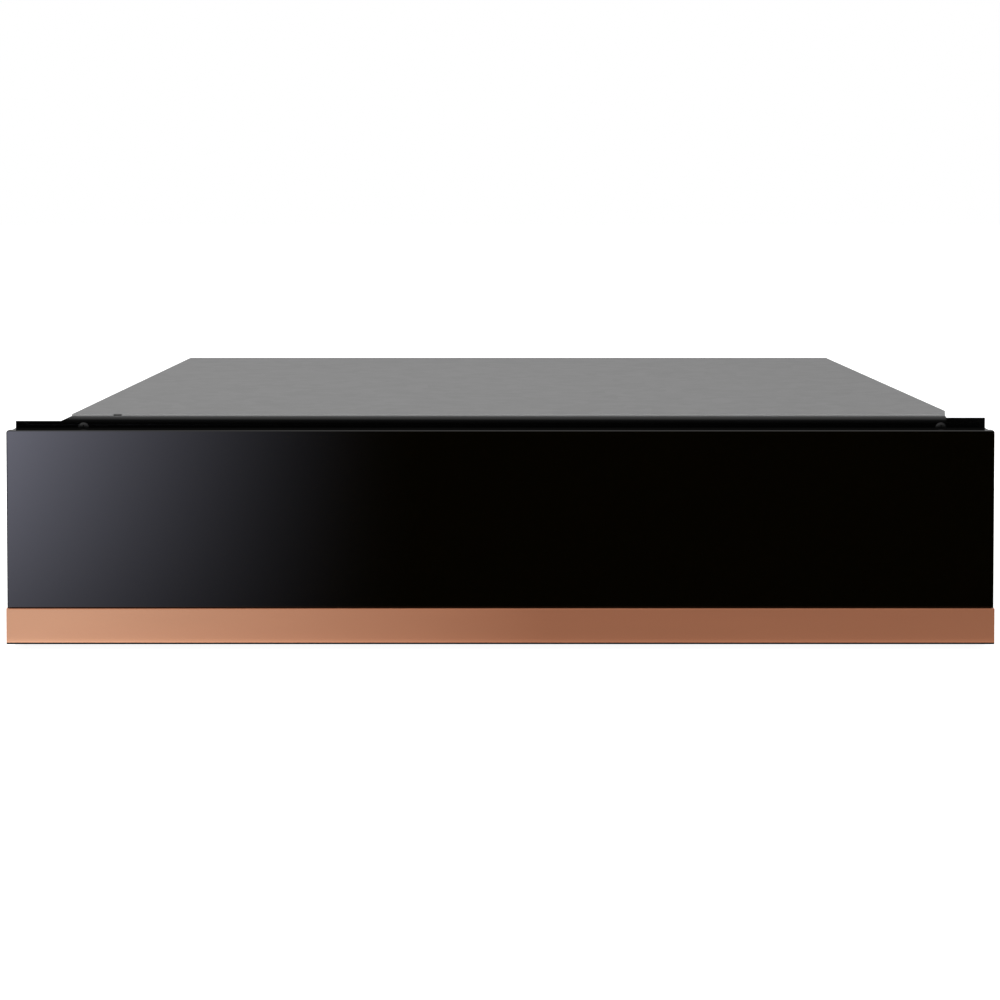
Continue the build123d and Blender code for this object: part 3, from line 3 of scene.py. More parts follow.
import bmesh
import bpy
from bpy.props import FloatProperty, FloatVectorProperty, IntProperty, PointerProperty
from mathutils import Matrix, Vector


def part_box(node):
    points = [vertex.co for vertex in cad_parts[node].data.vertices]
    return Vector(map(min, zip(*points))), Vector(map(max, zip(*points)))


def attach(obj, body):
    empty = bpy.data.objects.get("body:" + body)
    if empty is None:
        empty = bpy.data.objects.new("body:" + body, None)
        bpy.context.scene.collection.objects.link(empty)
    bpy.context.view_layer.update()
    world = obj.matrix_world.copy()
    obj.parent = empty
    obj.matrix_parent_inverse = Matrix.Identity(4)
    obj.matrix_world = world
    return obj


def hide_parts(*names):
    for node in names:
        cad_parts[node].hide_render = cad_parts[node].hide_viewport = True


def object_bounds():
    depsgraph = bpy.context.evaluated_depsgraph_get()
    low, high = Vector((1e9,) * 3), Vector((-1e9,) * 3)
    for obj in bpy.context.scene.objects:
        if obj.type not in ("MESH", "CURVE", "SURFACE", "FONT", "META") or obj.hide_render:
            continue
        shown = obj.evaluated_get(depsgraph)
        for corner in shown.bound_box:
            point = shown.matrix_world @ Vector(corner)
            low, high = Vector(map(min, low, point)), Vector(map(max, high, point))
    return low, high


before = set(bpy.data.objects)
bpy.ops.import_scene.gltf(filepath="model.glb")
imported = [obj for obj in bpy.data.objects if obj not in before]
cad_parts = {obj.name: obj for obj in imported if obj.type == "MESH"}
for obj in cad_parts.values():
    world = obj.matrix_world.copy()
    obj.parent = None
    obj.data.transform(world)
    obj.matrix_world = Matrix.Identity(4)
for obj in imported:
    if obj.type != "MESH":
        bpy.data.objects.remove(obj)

bl_info = {
    "name": "Warming Drawer",
    "version": (1, 0, 0),
    "blender": (4, 5, 0),
    "location": "3D View > Sidebar > Warming Drawer",
    "description": "Finishes, small fittings and studio of a built-in warming drawer",
    "category": "Object",
}

CAD_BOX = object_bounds()
WHITE = (1.0, 1.0, 1.0)

# Points closer than this, in metres, are one point of a CAD mesh
SAME_POINT = 1e-6
# Depth of the painted highlight along the front edge of the top cover, in metres
FRONT_HIGHLIGHT_DEPTH = 0.0001
# Shares of a radius: top of a nub, ball that rounds a screw head, and length of its cross
NUB_TOP_SHARE = 0.6
HEAD_BALL_SHARE = 1.25
CROSS_SHARE = 1.15


def colour(name, description, default):
    """Property for a finish's base colour, in linear light."""
    return FloatVectorProperty(
        name=name, description=description, default=default, size=3, min=0.0, max=1.0, subtype="COLOR"
    )


def length(name, description, default):
    """Property for a length in metres."""
    return FloatProperty(
        name=name,
        description=description,
        default=default,
        min=0.0,
        precision=5,
        unit="LENGTH",
        subtype="DISTANCE",
    )


def angle(name, description, default):
    """Property for an angle, whose default is given in degrees."""
    return FloatProperty(
        name=name, description=description, default=math.radians(default), unit="ROTATION", subtype="ANGLE"
    )


def strength(name, description, default):
    """Property for how strong a light is."""
    return FloatProperty(name=name, description=description, default=default, min=0.0)


class DrawerColours(bpy.types.PropertyGroup):
    """Base colours of the finishes."""

    glass: colour("Glass", "Black coating behind the front glass", (0.0014, 0.0010, 0.0003))
    copper: colour("Copper strip", "Copper-coloured strip under the glass", (0.78, 0.300, 0.152))
    enamel: colour("Enamel", "Front frame and panel", (0.0028, 0.0028, 0.0028))
    zinc: colour("Zinc", "Galvanised housing sheets", (0.185, 0.185, 0.185))
    # Painted highlight: light grey for the top cover's front edge face, in place of the light that the edge
    # catches
    edge_highlight: colour("Cut edge", "Bare front edge of the top cover", (0.60, 0.60, 0.60))
    steel: colour("Stainless steel", "Tub and cavity", (0.56, 0.55, 0.53))
    plating: colour("Plating", "Bright plating of runners and screws", (0.62, 0.63, 0.66))
    black_coat: colour("Black coat", "Coated screws of the front frame", (0.006, 0.006, 0.006))
    mat: colour("Mat", "Silicone mat in the tub", (0.030, 0.031, 0.034))
    rubber: colour("Rubber", "Seal and buffers", (0.016, 0.016, 0.017))
    plastic: colour("Black plastic", "Fascia, knob, rocker and gland", (0.018, 0.018, 0.019))
    grey_plastic: colour("Grey plastic", "Latches and thermostat", (0.20, 0.20, 0.21))
    pale_plastic: colour("Pale plastic", "Terminal block and dial marks", (0.70, 0.68, 0.62))
    lens: colour("Lens", "Pilot lamp", (0.52, 0.045, 0.015))
    lamination: colour("Lamination", "Varnished motor", (0.14, 0.13, 0.13))
    aluminium: colour("Aluminium", "Fan impeller", (0.68, 0.68, 0.69))
    sheath: colour("Sheath", "Heating element", (0.13, 0.12, 0.115))
    capillary: colour("Capillary", "Drawn copper tube", (0.62, 0.29, 0.16))
    sleeve: colour("Sleeve", "Braided wiring sleeve", (0.022, 0.022, 0.024))
    wool: colour("Mineral wool", "Ceiling insulation", (0.55, 0.48, 0.30))
    adhesive: colour("Adhesive", "Silicone pads behind the glass", (0.06, 0.06, 0.06))


class DrawerFittings(bpy.types.PropertyGroup):
    """Sizes of the small fittings that the finishes add."""

    dot_pitch: length("Dot pitch", "Spacing of the mat's nubs", 0.0125)
    dot_radius: length("Dot radius", "Foot of one nub", 0.0026)
    dot_height: length("Dot height", "Rise of one nub above the mat", 0.0007)
    head_rise: length("Head rise", "Height of a screw's head", 0.0012)
    shank_radius: length("Shank radius", "Radius of a screw's shank", 0.0016)
    recess_width: length("Recess width", "Width of one arm of a screw's cross", 0.0009)
    recess_depth: length("Recess depth", "Depth of a screw's cross", 0.0007)
    mark_count: IntProperty(name="Dial marks", description="Marks round the knob", default=10, min=2)
    mark_sweep: angle("Dial sweep", "Angle between the first and the last mark", 270.0)
    mark_ring: length("Mark ring", "Distance of the marks from the knob's axle", 0.0192)
    mark_length: length("Mark length", "Length of one dial mark", 0.0016)
    mark_width: length("Mark width", "Width of one dial mark", 0.0005)
    mark_rise: length("Mark rise", "Thickness of one printed mark", 0.00006)
    groove_depth: length("Groove depth", "Depth of the groove in the knob's face", 0.0008)
    pointer_width: length("Pointer width", "Width of the bar in the knob's groove", 0.0014)
    pointer_rise: length("Pointer rise", "Height of the bar above the groove's floor", 0.0005)
    pointer_start: length("Pointer start", "Distance of the bar's inner end from the axle", 0.0029)
    pointer_end: length("Pointer end", "Distance of the bar's outer end from the axle", 0.0094)


class DrawerStudio(bpy.types.PropertyGroup):
    """Camera and light of the studio."""

    camera_place: FloatVectorProperty(
        name="Camera place",
        description="Where the camera stands",
        default=(-0.0014, -1.5826, 0.2642),
        size=3,
        precision=4,
        subtype="TRANSLATION",
        unit="LENGTH",
    )
    camera_dip: angle("Camera dip", "How far the camera looks down", 1.77)
    lens: FloatProperty(name="Lens", description="Focal length in millimetres", default=78.60, min=1.0)
    shift_x: FloatProperty(name="Shift X", description="Sideways shift of the picture", default=0.0019)
    shift_y: FloatProperty(name="Shift Y", description="Upright shift of the picture", default=-0.2208)
    dome: strength("Dome", "Light from above and behind", 0.92)
    front_dome: strength("Front dome", "Light from the camera's side", 0.05)
    mirror_card: strength("Mirror card", "Light that the glass mirrors", 4.2)
    sheen_card: strength("Sheen card", "Light that the glass mirrors in views from above", 1.1)
    fill_card: strength("Fill card", "Light over the camera", 1.3)
    floor_card: strength("Floor card", "Light that the copper mirrors", 1.29)
    bounce_card: strength("Bounce card", "Floor that the steel mirrors", 0.8)
    softbox: strength("Softbox", "Power of the overhead softbox in watts", 15.5)
    floor_glow: strength("Floor glow", "Light that the pale floor gives", 0.95)


def colour_mix(nodes):
    """New node that mixes two colours: its factor, its two colour inputs and its result."""
    node = nodes.new("ShaderNodeMix")
    node.data_type = "RGBA"
    shades = [socket for socket in node.inputs if socket.type == "RGBA"]
    result = next(socket for socket in node.outputs if socket.type == "RGBA")
    return node.inputs["Factor"], shades, result


class Finish:
    """One procedural material, with short calls for the nodes that give it its grain."""

    def __init__(self, name, base, roughness, metallic=0.0, specular=0.5):
        self.material = bpy.data.materials.new(name)
        self.material.use_nodes = True
        self.nodes = self.material.node_tree.nodes
        self.links = self.material.node_tree.links
        self.surface = next(node for node in self.nodes if node.type == "BSDF_PRINCIPLED")
        self.base = tuple(base)
        self.surface.inputs["Base Color"].default_value = (*base, 1.0)
        self.surface.inputs["Roughness"].default_value = roughness
        self.surface.inputs["Metallic"].default_value = metallic
        self.surface.inputs["Specular IOR Level"].default_value = specular
        self.place = self.nodes.new("ShaderNodeTexCoord").outputs["Object"]

    def stretched(self, stretch):
        """Object coordinates, with the pattern drawn out along an axis by a small factor there."""
        mapping = self.nodes.new("ShaderNodeMapping")
        mapping.inputs["Scale"].default_value = stretch
        self.links.new(self.place, mapping.inputs["Vector"])
        return mapping.outputs["Vector"]

    def noise(self, scale, detail=3.0, stretch=None):
        """Cloudy pattern with about as many blobs to the metre as the scale says."""
        node = self.nodes.new("ShaderNodeTexNoise")
        node.inputs["Scale"].default_value = scale
        node.inputs["Detail"].default_value = detail
        self.links.new(self.stretched(stretch) if stretch else self.place, node.inputs["Vector"])
        return node.outputs["Fac"]

    def cells(self, scale, output="Distance"):
        """Cells, about as many to the metre as the scale says: soft ones, or flat ones with output Color."""
        node = self.nodes.new("ShaderNodeTexVoronoi")
        node.inputs["Scale"].default_value = scale
        self.links.new(self.place, node.inputs["Vector"])
        return node.outputs[output]

    def waves(self, scale, direction):
        """Even bands across one axis."""
        node = self.nodes.new("ShaderNodeTexWave")
        node.bands_direction = direction
        node.inputs["Scale"].default_value = scale
        self.links.new(self.place, node.inputs["Vector"])
        return node.outputs["Fac"]

    def spread(self, value, low, high):
        """Pattern from 0 to 1, spread between two numbers."""
        node = self.nodes.new("ShaderNodeMapRange")
        node.inputs["To Min"].default_value = low
        node.inputs["To Max"].default_value = high
        self.links.new(value, node.inputs["Value"])
        return node.outputs["Result"]

    def mottle(self, value, dark, light):
        """Base colour that follows a pattern between a darker and a lighter shade."""
        factor, sockets, result = colour_mix(self.nodes)
        for socket, shade in zip(sockets, (dark, light)):
            socket.default_value = (*[min(1.0, part * shade) for part in self.base], 1.0)
        self.links.new(value, factor)
        self.links.new(result, self.surface.inputs["Base Color"])

    def painted_front_highlight(self, edge, shade):
        """Painted highlight: lighter colour in front of an edge, over the colour that the finish already
        has.
        """
        parts = self.nodes.new("ShaderNodeSeparateXYZ")
        self.links.new(self.place, parts.inputs["Vector"])
        before = self.nodes.new("ShaderNodeMath")
        before.operation = "LESS_THAN"
        before.inputs[1].default_value = edge
        self.links.new(parts.outputs["Y"], before.inputs[0])
        factor, (under, over), result = colour_mix(self.nodes)
        self.links.new(self.surface.inputs["Base Color"].links[0].from_socket, under)
        over.default_value = (*shade, 1.0)
        self.links.new(before.outputs["Value"], factor)
        self.links.new(result, self.surface.inputs["Base Color"])

    def wear(self, value, low, high):
        """Roughness that follows a pattern."""
        self.links.new(self.spread(value, low, high), self.surface.inputs["Roughness"])

    def relief(self, value, height):
        """Bump that follows a pattern, as high as asked in metres."""
        node = self.nodes.new("ShaderNodeBump")
        node.inputs["Strength"].default_value = 1.0
        node.inputs["Distance"].default_value = height
        self.links.new(value, node.inputs["Height"])
        self.links.new(node.outputs["Normal"], self.surface.inputs["Normal"])

    def on(self, *nodes):
        """Puts the finish on CAD nodes by name."""
        for name in nodes:
            wear_finish(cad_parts[name], self.material)


def wear_finish(piece, material):
    """Gives a piece one material in place of all that it had."""
    piece.data.materials.clear()
    piece.data.materials.append(material)


def join_scene(name, mesh):
    """New object at the origin with a mesh that is already in place."""
    piece = bpy.data.objects.new(name, mesh)
    bpy.context.scene.collection.objects.link(piece)
    return piece


def block(name, low, high):
    """Closed box between two corners."""
    shape = bmesh.new()
    bmesh.ops.create_cube(shape, size=1.0)
    for vertex in shape.verts:
        vertex.co = [high[axis] if vertex.co[axis] > 0 else low[axis] for axis in range(3)]
    mesh = bpy.data.meshes.new(name)
    shape.to_mesh(mesh)
    shape.free()
    return join_scene(name, mesh)


def solid_boxes(node):
    """Lowest and highest corner of each separate solid of a CAD node."""
    shape = bmesh.new()
    shape.from_mesh(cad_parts[node].data)
    bmesh.ops.remove_doubles(shape, verts=shape.verts, dist=SAME_POINT)
    waiting = set(shape.verts)
    boxes = []
    while waiting:
        reached = [waiting.pop()]
        places = []
        while reached:
            vertex = reached.pop()
            places.append(vertex.co.copy())
            for edge in vertex.link_edges:
                other = edge.other_vert(vertex)
                if other in waiting:
                    waiting.remove(other)
                    reached.append(other)
        low = Vector(min(place[axis] for place in places) for axis in range(3))
        high = Vector(max(place[axis] for place in places) for axis in range(3))
        boxes.append((low, high))
    shape.free()
    return sorted(boxes, key=lambda box: tuple(box[0]))


class Tree:
    """Geometry node tree with named inputs, and short calls to add and join its nodes."""

    def __init__(self, name):
        self.tree = bpy.data.node_groups.new(name, "GeometryNodeTree")
        self.sockets = {}
        self.tree.interface.new_socket("Geometry", in_out="INPUT", socket_type="NodeSocketGeometry")
        self.tree.interface.new_socket("Geometry", in_out="OUTPUT", socket_type="NodeSocketGeometry")
        self.source = self.tree.nodes.new("NodeGroupInput")
        self.result = self.tree.nodes.new("NodeGroupOutput")

    def ask(self, kind, *names):
        """Named inputs of one kind: Float, Int, Vector, Rotation or Material."""
        for name in names:
            socket = self.tree.interface.new_socket(name, in_out="INPUT", socket_type="NodeSocket" + kind)
            self.sockets[name] = socket.identifier

    def given(self, name):
        """Output of the group's input with that name."""
        return self.source.outputs[name]

    def add(self, kind, joins=(), output=None, **settings):
        """New node, with its settings and (input, value or socket) pairs; gives one output socket."""
        node = self.tree.nodes.new(kind)
        for key, value in settings.items():
            setattr(node, key, value)
        for key, value in joins:
            if isinstance(value, bpy.types.NodeSocket):
                self.tree.links.new(value, node.inputs[key])
            else:
                node.inputs[key].default_value = value
        return node.outputs[output] if output else node.outputs[0]

    def reckon(self, operation, first, second=0.0):
        """Result of a sum on numbers or sockets."""
        return self.add("ShaderNodeMath", [(0, first), (1, second)], operation=operation)

    def vector(self, x, y, z):
        """Vector from three numbers or sockets."""
        return self.add("ShaderNodeCombineXYZ", [("X", x), ("Y", y), ("Z", z)])

    def cylinder(self, radius, length, middle):
        """Upright cylinder with its middle at a height."""
        sizes = [("Vertices", 32), ("Radius", radius), ("Depth", length)]
        bar = self.add("GeometryNodeMeshCylinder", sizes, output="Mesh")
        rise = self.vector(0.0, 0.0, middle)
        return self.add("GeometryNodeTransform", [("Geometry", bar), ("Translation", rise)])

    def end(self, instances):
        """Realised instances with the asked material, as the tree's result."""
        real = self.add("GeometryNodeRealizeInstances", [("Geometry", instances)])
        material = self.given("Material")
        painted = self.add("GeometryNodeSetMaterial", [("Geometry", real), ("Material", material)])
        self.tree.links.new(painted, self.result.inputs["Geometry"])

    def grow(self, name, host, values):
        """Runs the tree on a host mesh and keeps its result as a plain mesh object."""
        piece = join_scene(name, host)
        modifier = piece.modifiers.new(name, "NODES")
        modifier.node_group = self.tree
        for key, value in values.items():
            modifier[self.sockets[key]] = value
        depsgraph = bpy.context.evaluated_depsgraph_get()
        mesh = bpy.data.meshes.new_from_object(piece.evaluated_get(depsgraph), depsgraph=depsgraph)
        piece.modifiers.clear()
        piece.data = mesh
        bpy.data.meshes.remove(host)
        if not mesh.polygons:
            raise RuntimeError(name + " came out empty")
        return piece


def points_mesh(name, points):
    """Mesh of loose points."""
    mesh = bpy.data.meshes.new(name)
    mesh.from_pydata([tuple(point) for point in points], [], [])
    return mesh


class PieceOperator(bpy.types.Operator):
    """Shared ways of the operators that dress one group of pieces."""

    bl_options = {"REGISTER", "UNDO"}

    @property
    def colours(self):
        return bpy.context.scene.drawer_colours

    @property
    def fittings(self):
        return bpy.context.scene.drawer_fittings


class DRAWER_OT_front(PieceOperator):
    """Glass, copper strip and enamelled panel of the drawer front"""

    bl_idname = "drawer.front"
    bl_label = "Drawer front"

    def execute(self, context):
        glass = Finish("polished black glass", self.colours.glass, 0.03)
        glass.wear(glass.noise(14.0, detail=4.0), 0.012, 0.035)
        glass.on("front_glass")
        strip = Finish("satin copper strip", self.colours.copper, 0.16, metallic=1.0)
        grain = strip.noise(2600.0, detail=2.0, stretch=(0.015, 1.0, 1.0))
        strip.mottle(strip.noise(38.0, stretch=(0.2, 1.0, 1.0)), 0.94, 1.05)
        strip.wear(grain, 0.13, 0.19)
        strip.surface.inputs["Coat Weight"].default_value = 0.7
        strip.surface.inputs["Coat Roughness"].default_value = 0.08
        strip.relief(grain, 0.000004)
        strip.on("trim_strip")
        enamel_finish("matt black enamel", self.colours.enamel, 0.6, 0.0).on("front_panel")
        pads = Finish("silicone adhesive", self.colours.adhesive, 0.7)
        pads.relief(pads.noise(420.0), 0.0001)
        pads.mottle(pads.noise(90.0), 0.8, 1.2)
        pads.on("glass_bond_pads")
        rubber_finish(self.colours.rubber).on("front_buffers")
        return {"FINISHED"}


def enamel_finish(name, base, roughness, specular):
    """Black enamel with a slight orange peel."""
    enamel = Finish(name, base, roughness, specular=specular)
    enamel.mottle(enamel.noise(180.0, detail=4.0), 0.9, 1.1)
    enamel.wear(enamel.noise(26.0), 0.9 * roughness, 1.1 * roughness)
    enamel.relief(enamel.noise(520.0, detail=1.0), 0.000006)
    return enamel


def rubber_finish(base):
    """Matt moulded rubber."""
    rubber = Finish("matt moulded rubber", base, 0.78)
    rubber.mottle(rubber.noise(60.0), 0.8, 1.25)
    rubber.relief(rubber.noise(1500.0), 0.00003)
    return rubber


def zinc_finish(base):
    """Zinc-coated sheet with a faint spangle."""
    zinc = Finish("zinc-coated sheet", base, 0.7, specular=0.1)
    zinc.mottle(zinc.cells(95.0, output="Color"), 0.95, 1.05)
    zinc.wear(zinc.noise(240.0, detail=4.0), 0.65, 0.75)
    return zinc


def brushed_finish(name, base, stretch):
    """Brushed stainless steel, with its grain drawn out along one axis."""
    steel = Finish(name, base, 0.3, metallic=1.0)
    grain = steel.noise(2200.0, detail=3.0, stretch=stretch)
    steel.mottle(steel.noise(24.0), 0.92, 1.06)
    steel.wear(grain, 0.22, 0.40)
    steel.relief(grain, 0.000006)
    return steel


def plated_finish(base):
    """Bright plated steel with soft water marks."""
    plating = Finish("bright plated steel", base, 0.26, metallic=1.0)
    plating.mottle(plating.noise(45.0, detail=4.0), 0.93, 1.05)
    plating.wear(plating.noise(160.0), 0.24, 0.31)
    return plating


def plastic_finish(name, base):
    """Moulded plastic with a fine eroded grain."""
    plastic = Finish(name, base, 0.48)
    plastic.mottle(plastic.noise(70.0), 0.88, 1.12)
    plastic.wear(plastic.noise(900.0), 0.42, 0.58)
    plastic.relief(plastic.noise(2400.0, detail=2.0), 0.00002)
    return plastic


class DRAWER_OT_housing(PieceOperator):
    """Sheets, frame, seal and insulation of the housing"""

    bl_idname = "drawer.housing"
    bl_label = "Housing"

    def execute(self, context):
        zinc_finish(self.colours.zinc).on(
            "base_pan", "side_panel_left", "side_panel_right", "rear_panel", "heater_box"
        )
        cover = zinc_finish(self.colours.zinc)
        # Painted highlight: the cover's front edge face is coloured light grey to stand in for the light
        # that the edge catches
        cover.painted_front_highlight(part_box("top_cover")[0].y + FRONT_HIGHLIGHT_DEPTH, self.colours.edge_highlight)
        cover.on("top_cover")
        enamel_finish("satin black enamel", self.colours.enamel, 0.2, 0.45).on("front_frame")
        rubber_finish(self.colours.rubber).on("frame_seal")
        brushed_finish("brushed cavity steel", self.colours.steel, (1.0, 0.02, 1.0)).on(
            "cavity_side_left", "cavity_side_right", "cavity_ceiling"
        )
        brushed_finish("brushed baffle steel", self.colours.steel, (0.02, 1.0, 1.0)).on("air_baffle")
        wool = Finish("pressed mineral wool", self.colours.wool, 0.95, specular=0.1)
        fibre = wool.noise(900.0, detail=6.0, stretch=(0.3, 1.0, 1.0))
        wool.mottle(fibre, 0.55, 1.3)
        wool.relief(fibre, 0.0004)
        wool.on("ceiling_insulation")
        return {"FINISHED"}


class DRAWER_OT_tub(PieceOperator):
    """Steel tub, its inner panel and the silicone mat with its nubs"""

    bl_idname = "drawer.tub"
    bl_label = "Tub and mat"

    def execute(self, context):
        brushed_finish("brushed tub steel", self.colours.steel, (1.0, 0.02, 1.0)).on("drawer_tub")
        brushed_finish("brushed panel steel", self.colours.steel, (0.02, 1.0, 1.0)).on("front_inner_panel")
        plated_finish(self.colours.plating).on("latch_strikers")
        mat = rubber_finish(self.colours.mat)
        mat.on("base_mat")
        low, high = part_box("base_mat")
        pitch = self.fittings.dot_pitch
        columns = int((high.x - low.x) / pitch) - 1
        rows = int((high.y - low.y) / pitch) - 1
        tree = Tree("mat nubs")
        tree.ask("Int", "Columns", "Rows")
        tree.ask("Float", "Pitch", "Nub Radius", "Nub Height")
        tree.ask("Vector", "Centre")
        tree.ask("Material", "Material")
        sides = []
        for count in ("Columns", "Rows"):
            gaps = tree.reckon("SUBTRACT", tree.given(count), 1.0)
            sides.append(tree.reckon("MULTIPLY", gaps, tree.given("Pitch")))
        grid = tree.add(
            "GeometryNodeMeshGrid",
            [
                ("Size X", sides[0]),
                ("Size Y", sides[1]),
                ("Vertices X", tree.given("Columns")),
                ("Vertices Y", tree.given("Rows")),
            ],
            output="Mesh",
        )
        centre = tree.given("Centre")
        placed = tree.add("GeometryNodeTransform", [("Geometry", grid), ("Translation", centre)])
        top = tree.reckon("MULTIPLY", tree.given("Nub Radius"), NUB_TOP_SHARE)
        nub = tree.add(
            "GeometryNodeMeshCone",
            [
                ("Vertices", 10),
                ("Radius Top", top),
                ("Radius Bottom", tree.given("Nub Radius")),
                ("Depth", tree.given("Nub Height")),
            ],
            output="Mesh",
        )
        tree.end(tree.add("GeometryNodeInstanceOnPoints", [("Points", placed), ("Instance", nub)]))
        nubs = tree.grow(
            "mat_nubs",
            bpy.data.meshes.new("mat_nubs"),
            {
                "Columns": columns,
                "Rows": rows,
                "Pitch": pitch,
                "Nub Radius": self.fittings.dot_radius,
                "Nub Height": self.fittings.dot_height,
                "Centre": ((low.x + high.x) / 2, (low.y + high.y) / 2, high.z),
                "Material": mat.material,
            },
        )
        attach(nubs, "drawer")
        return {"FINISHED"}


class DRAWER_OT_runners(PieceOperator):
    """Plated channels and ball cages of the runners"""

    bl_idname = "drawer.runners"
    bl_label = "Runners"

    def execute(self, context):
        plating = plated_finish(self.colours.plating)
        plating.on("runner_outer_left", "runner_outer_right", "runner_middle_left", "runner_middle_right")
        plating.on("runner_inner_left", "runner_inner_right")
        cage = Finish("oiled cage strip", self.colours.plating, 0.3, metallic=1.0)
        cage.mottle(cage.noise(120.0, detail=5.0), 0.55, 0.85)
        cage.wear(cage.noise(300.0), 0.2, 0.45)
        cage.on("outer_cage_left", "outer_cage_right", "inner_cage_left", "inner_cage_right")
        return {"FINISHED"}


class DRAWER_OT_controls(PieceOperator):
    """Fascia, knob, switch, lamp and thermostat"""

    bl_idname = "drawer.controls"
    bl_label = "Controls"

    def execute(self, context):
        plastic = plastic_finish("fine black moulding", self.colours.plastic)
        plastic.on("control_fascia", "thermostat_knob", "switch_body", "switch_rocker")
        plastic_finish("grey thermostat moulding", self.colours.grey_plastic).on("thermostat_body")
        plated_finish(self.colours.plating).on("thermostat_shaft")
        lens = Finish("amber lamp lens", self.colours.lens, 0.12)
        lens.wear(lens.noise(300.0), 0.08, 0.18)
        lens.mottle(lens.cells(900.0), 0.7, 1.3)
        lens.on("pilot_lamp")
        tube = Finish("drawn copper tube", self.colours.capillary, 0.3, metallic=1.0)
        tube.mottle(tube.noise(80.0, detail=4.0), 0.75, 1.1)
        tube.wear(tube.noise(400.0), 0.22, 0.42)
        tube.on("thermostat_capillary")
        ink = Finish("pale print", self.colours.pale_plastic, 0.55)
        ink.mottle(ink.noise(1800.0), 0.85, 1.1)
        self.dial_marks(ink.material)
        self.pointer(ink.material)
        return {"FINISHED"}

    def pointer(self, material):
        """Pale bar inlaid in the knob's groove."""
        low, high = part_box("thermostat_knob")
        middle, axle = (low.x + high.x) / 2, (low.z + high.z) / 2
        half = self.fittings.pointer_width / 2
        floor = low.y + self.fittings.groove_depth
        bar = block(
            "knob_pointer",
            (middle - half, floor - self.fittings.pointer_rise, axle + self.fittings.pointer_start),
            (middle + half, floor, axle + self.fittings.pointer_end),
        )
        wear_finish(bar, material)
        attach(bar, "knob")

    def dial_marks(self, material):
        """Pale marks printed round the knob, clockwise from the top."""
        low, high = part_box("thermostat_knob")
        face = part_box("control_fascia")[0].y
        fittings = self.fittings
        tree = Tree("dial marks")
        tree.ask("Int", "Count")
        tree.ask("Float", "Sweep", "Ring", "Mark Length", "Mark Width", "Mark Rise")
        tree.ask("Vector", "Axle")
        tree.ask("Material", "Material")
        turn = tree.add("GeometryNodeInputIndex")
        gaps = tree.reckon("SUBTRACT", tree.given("Count"), 1.0)
        step = tree.reckon("DIVIDE", tree.given("Sweep"), gaps)
        way = tree.reckon("MULTIPLY", turn, step)
        ring = tree.given("Ring")
        sideways = tree.reckon("MULTIPLY", tree.reckon("SINE", way), ring)
        upwards = tree.reckon("MULTIPLY", tree.reckon("COSINE", way), ring)
        place = tree.vector(sideways, 0.0, upwards)
        spot = tree.add("ShaderNodeVectorMath", [(0, place), (1, tree.given("Axle"))], operation="ADD")
        points = tree.add("GeometryNodePoints", [("Count", tree.given("Count")), ("Position", spot)])
        size = tree.vector(tree.given("Mark Width"), tree.given("Mark Rise"), tree.given("Mark Length"))
        mark = tree.add("GeometryNodeMeshCube", [("Size", size)], output="Mesh")
        lean = tree.add("FunctionNodeEulerToRotation", [("Euler", tree.vector(0.0, way, 0.0))])
        tree.end(
            tree.add(
                "GeometryNodeInstanceOnPoints", [("Points", points), ("Instance", mark), ("Rotation", lean)]
            )
        )
        marks = tree.grow(
            "dial_marks",
            bpy.data.meshes.new("dial_marks"),
            {
                "Count": fittings.mark_count,
                "Sweep": fittings.mark_sweep,
                "Ring": fittings.mark_ring,
                "Mark Length": fittings.mark_length,
                "Mark Width": fittings.mark_width,
                "Mark Rise": fittings.mark_rise,
                "Axle": ((low.x + high.x) / 2, face, (low.z + high.z) / 2),
                "Material": material,
            },
        )
        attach(marks, "housing")


class DRAWER_OT_heater(PieceOperator):
    """Fan, motor, heating element and safety cut-out"""

    bl_idname = "drawer.heater"
    bl_label = "Fan heater"

    def execute(self, context):
        motor = Finish("varnished laminations", self.colours.lamination, 0.4, metallic=0.6)
        layers = motor.waves(320.0, "Y")
        motor.mottle(layers, 0.6, 1.3)
        motor.relief(layers, 0.00008)
        motor.on("fan_motor")
        blades = Finish("pressed aluminium", self.colours.aluminium, 0.35, metallic=1.0)
        blades.mottle(blades.noise(60.0), 0.85, 1.05)
        blades.wear(blades.noise(220.0), 0.28, 0.46)
        blades.on("fan_impeller")
        sheath = Finish("oxidised sheath", self.colours.sheath, 0.5, metallic=0.7)
        sheath.mottle(sheath.noise(70.0, detail=5.0), 0.5, 1.6)
        sheath.wear(sheath.noise(160.0), 0.38, 0.62)
        sheath.on("heating_element")
        plastic_finish("black cut-out moulding", self.colours.plastic).on("safety_cutout")
        return {"FINISHED"}


class DRAWER_OT_latches(PieceOperator):
    """Push latches, wiring, terminal block and gland"""

    bl_idname = "drawer.latches"
    bl_label = "Latches and wiring"

    def execute(self, context):
        grey = plastic_finish("grey latch moulding", self.colours.grey_plastic)
        grey.on("latch_bodies", "latch_plungers", "loom_clips")
        plastic_finish("pale terminal moulding", self.colours.pale_plastic).on("terminal_block")
        plastic_finish("black gland moulding", self.colours.plastic).on("cable_gland")
        sleeve = Finish("braided sleeve", self.colours.sleeve, 0.6)
        braid = sleeve.cells(700.0)
        sleeve.mottle(braid, 0.5, 1.8)
        sleeve.relief(braid, 0.0003)
        sleeve.on("wiring_loom", "heater_leads")
        return {"FINISHED"}


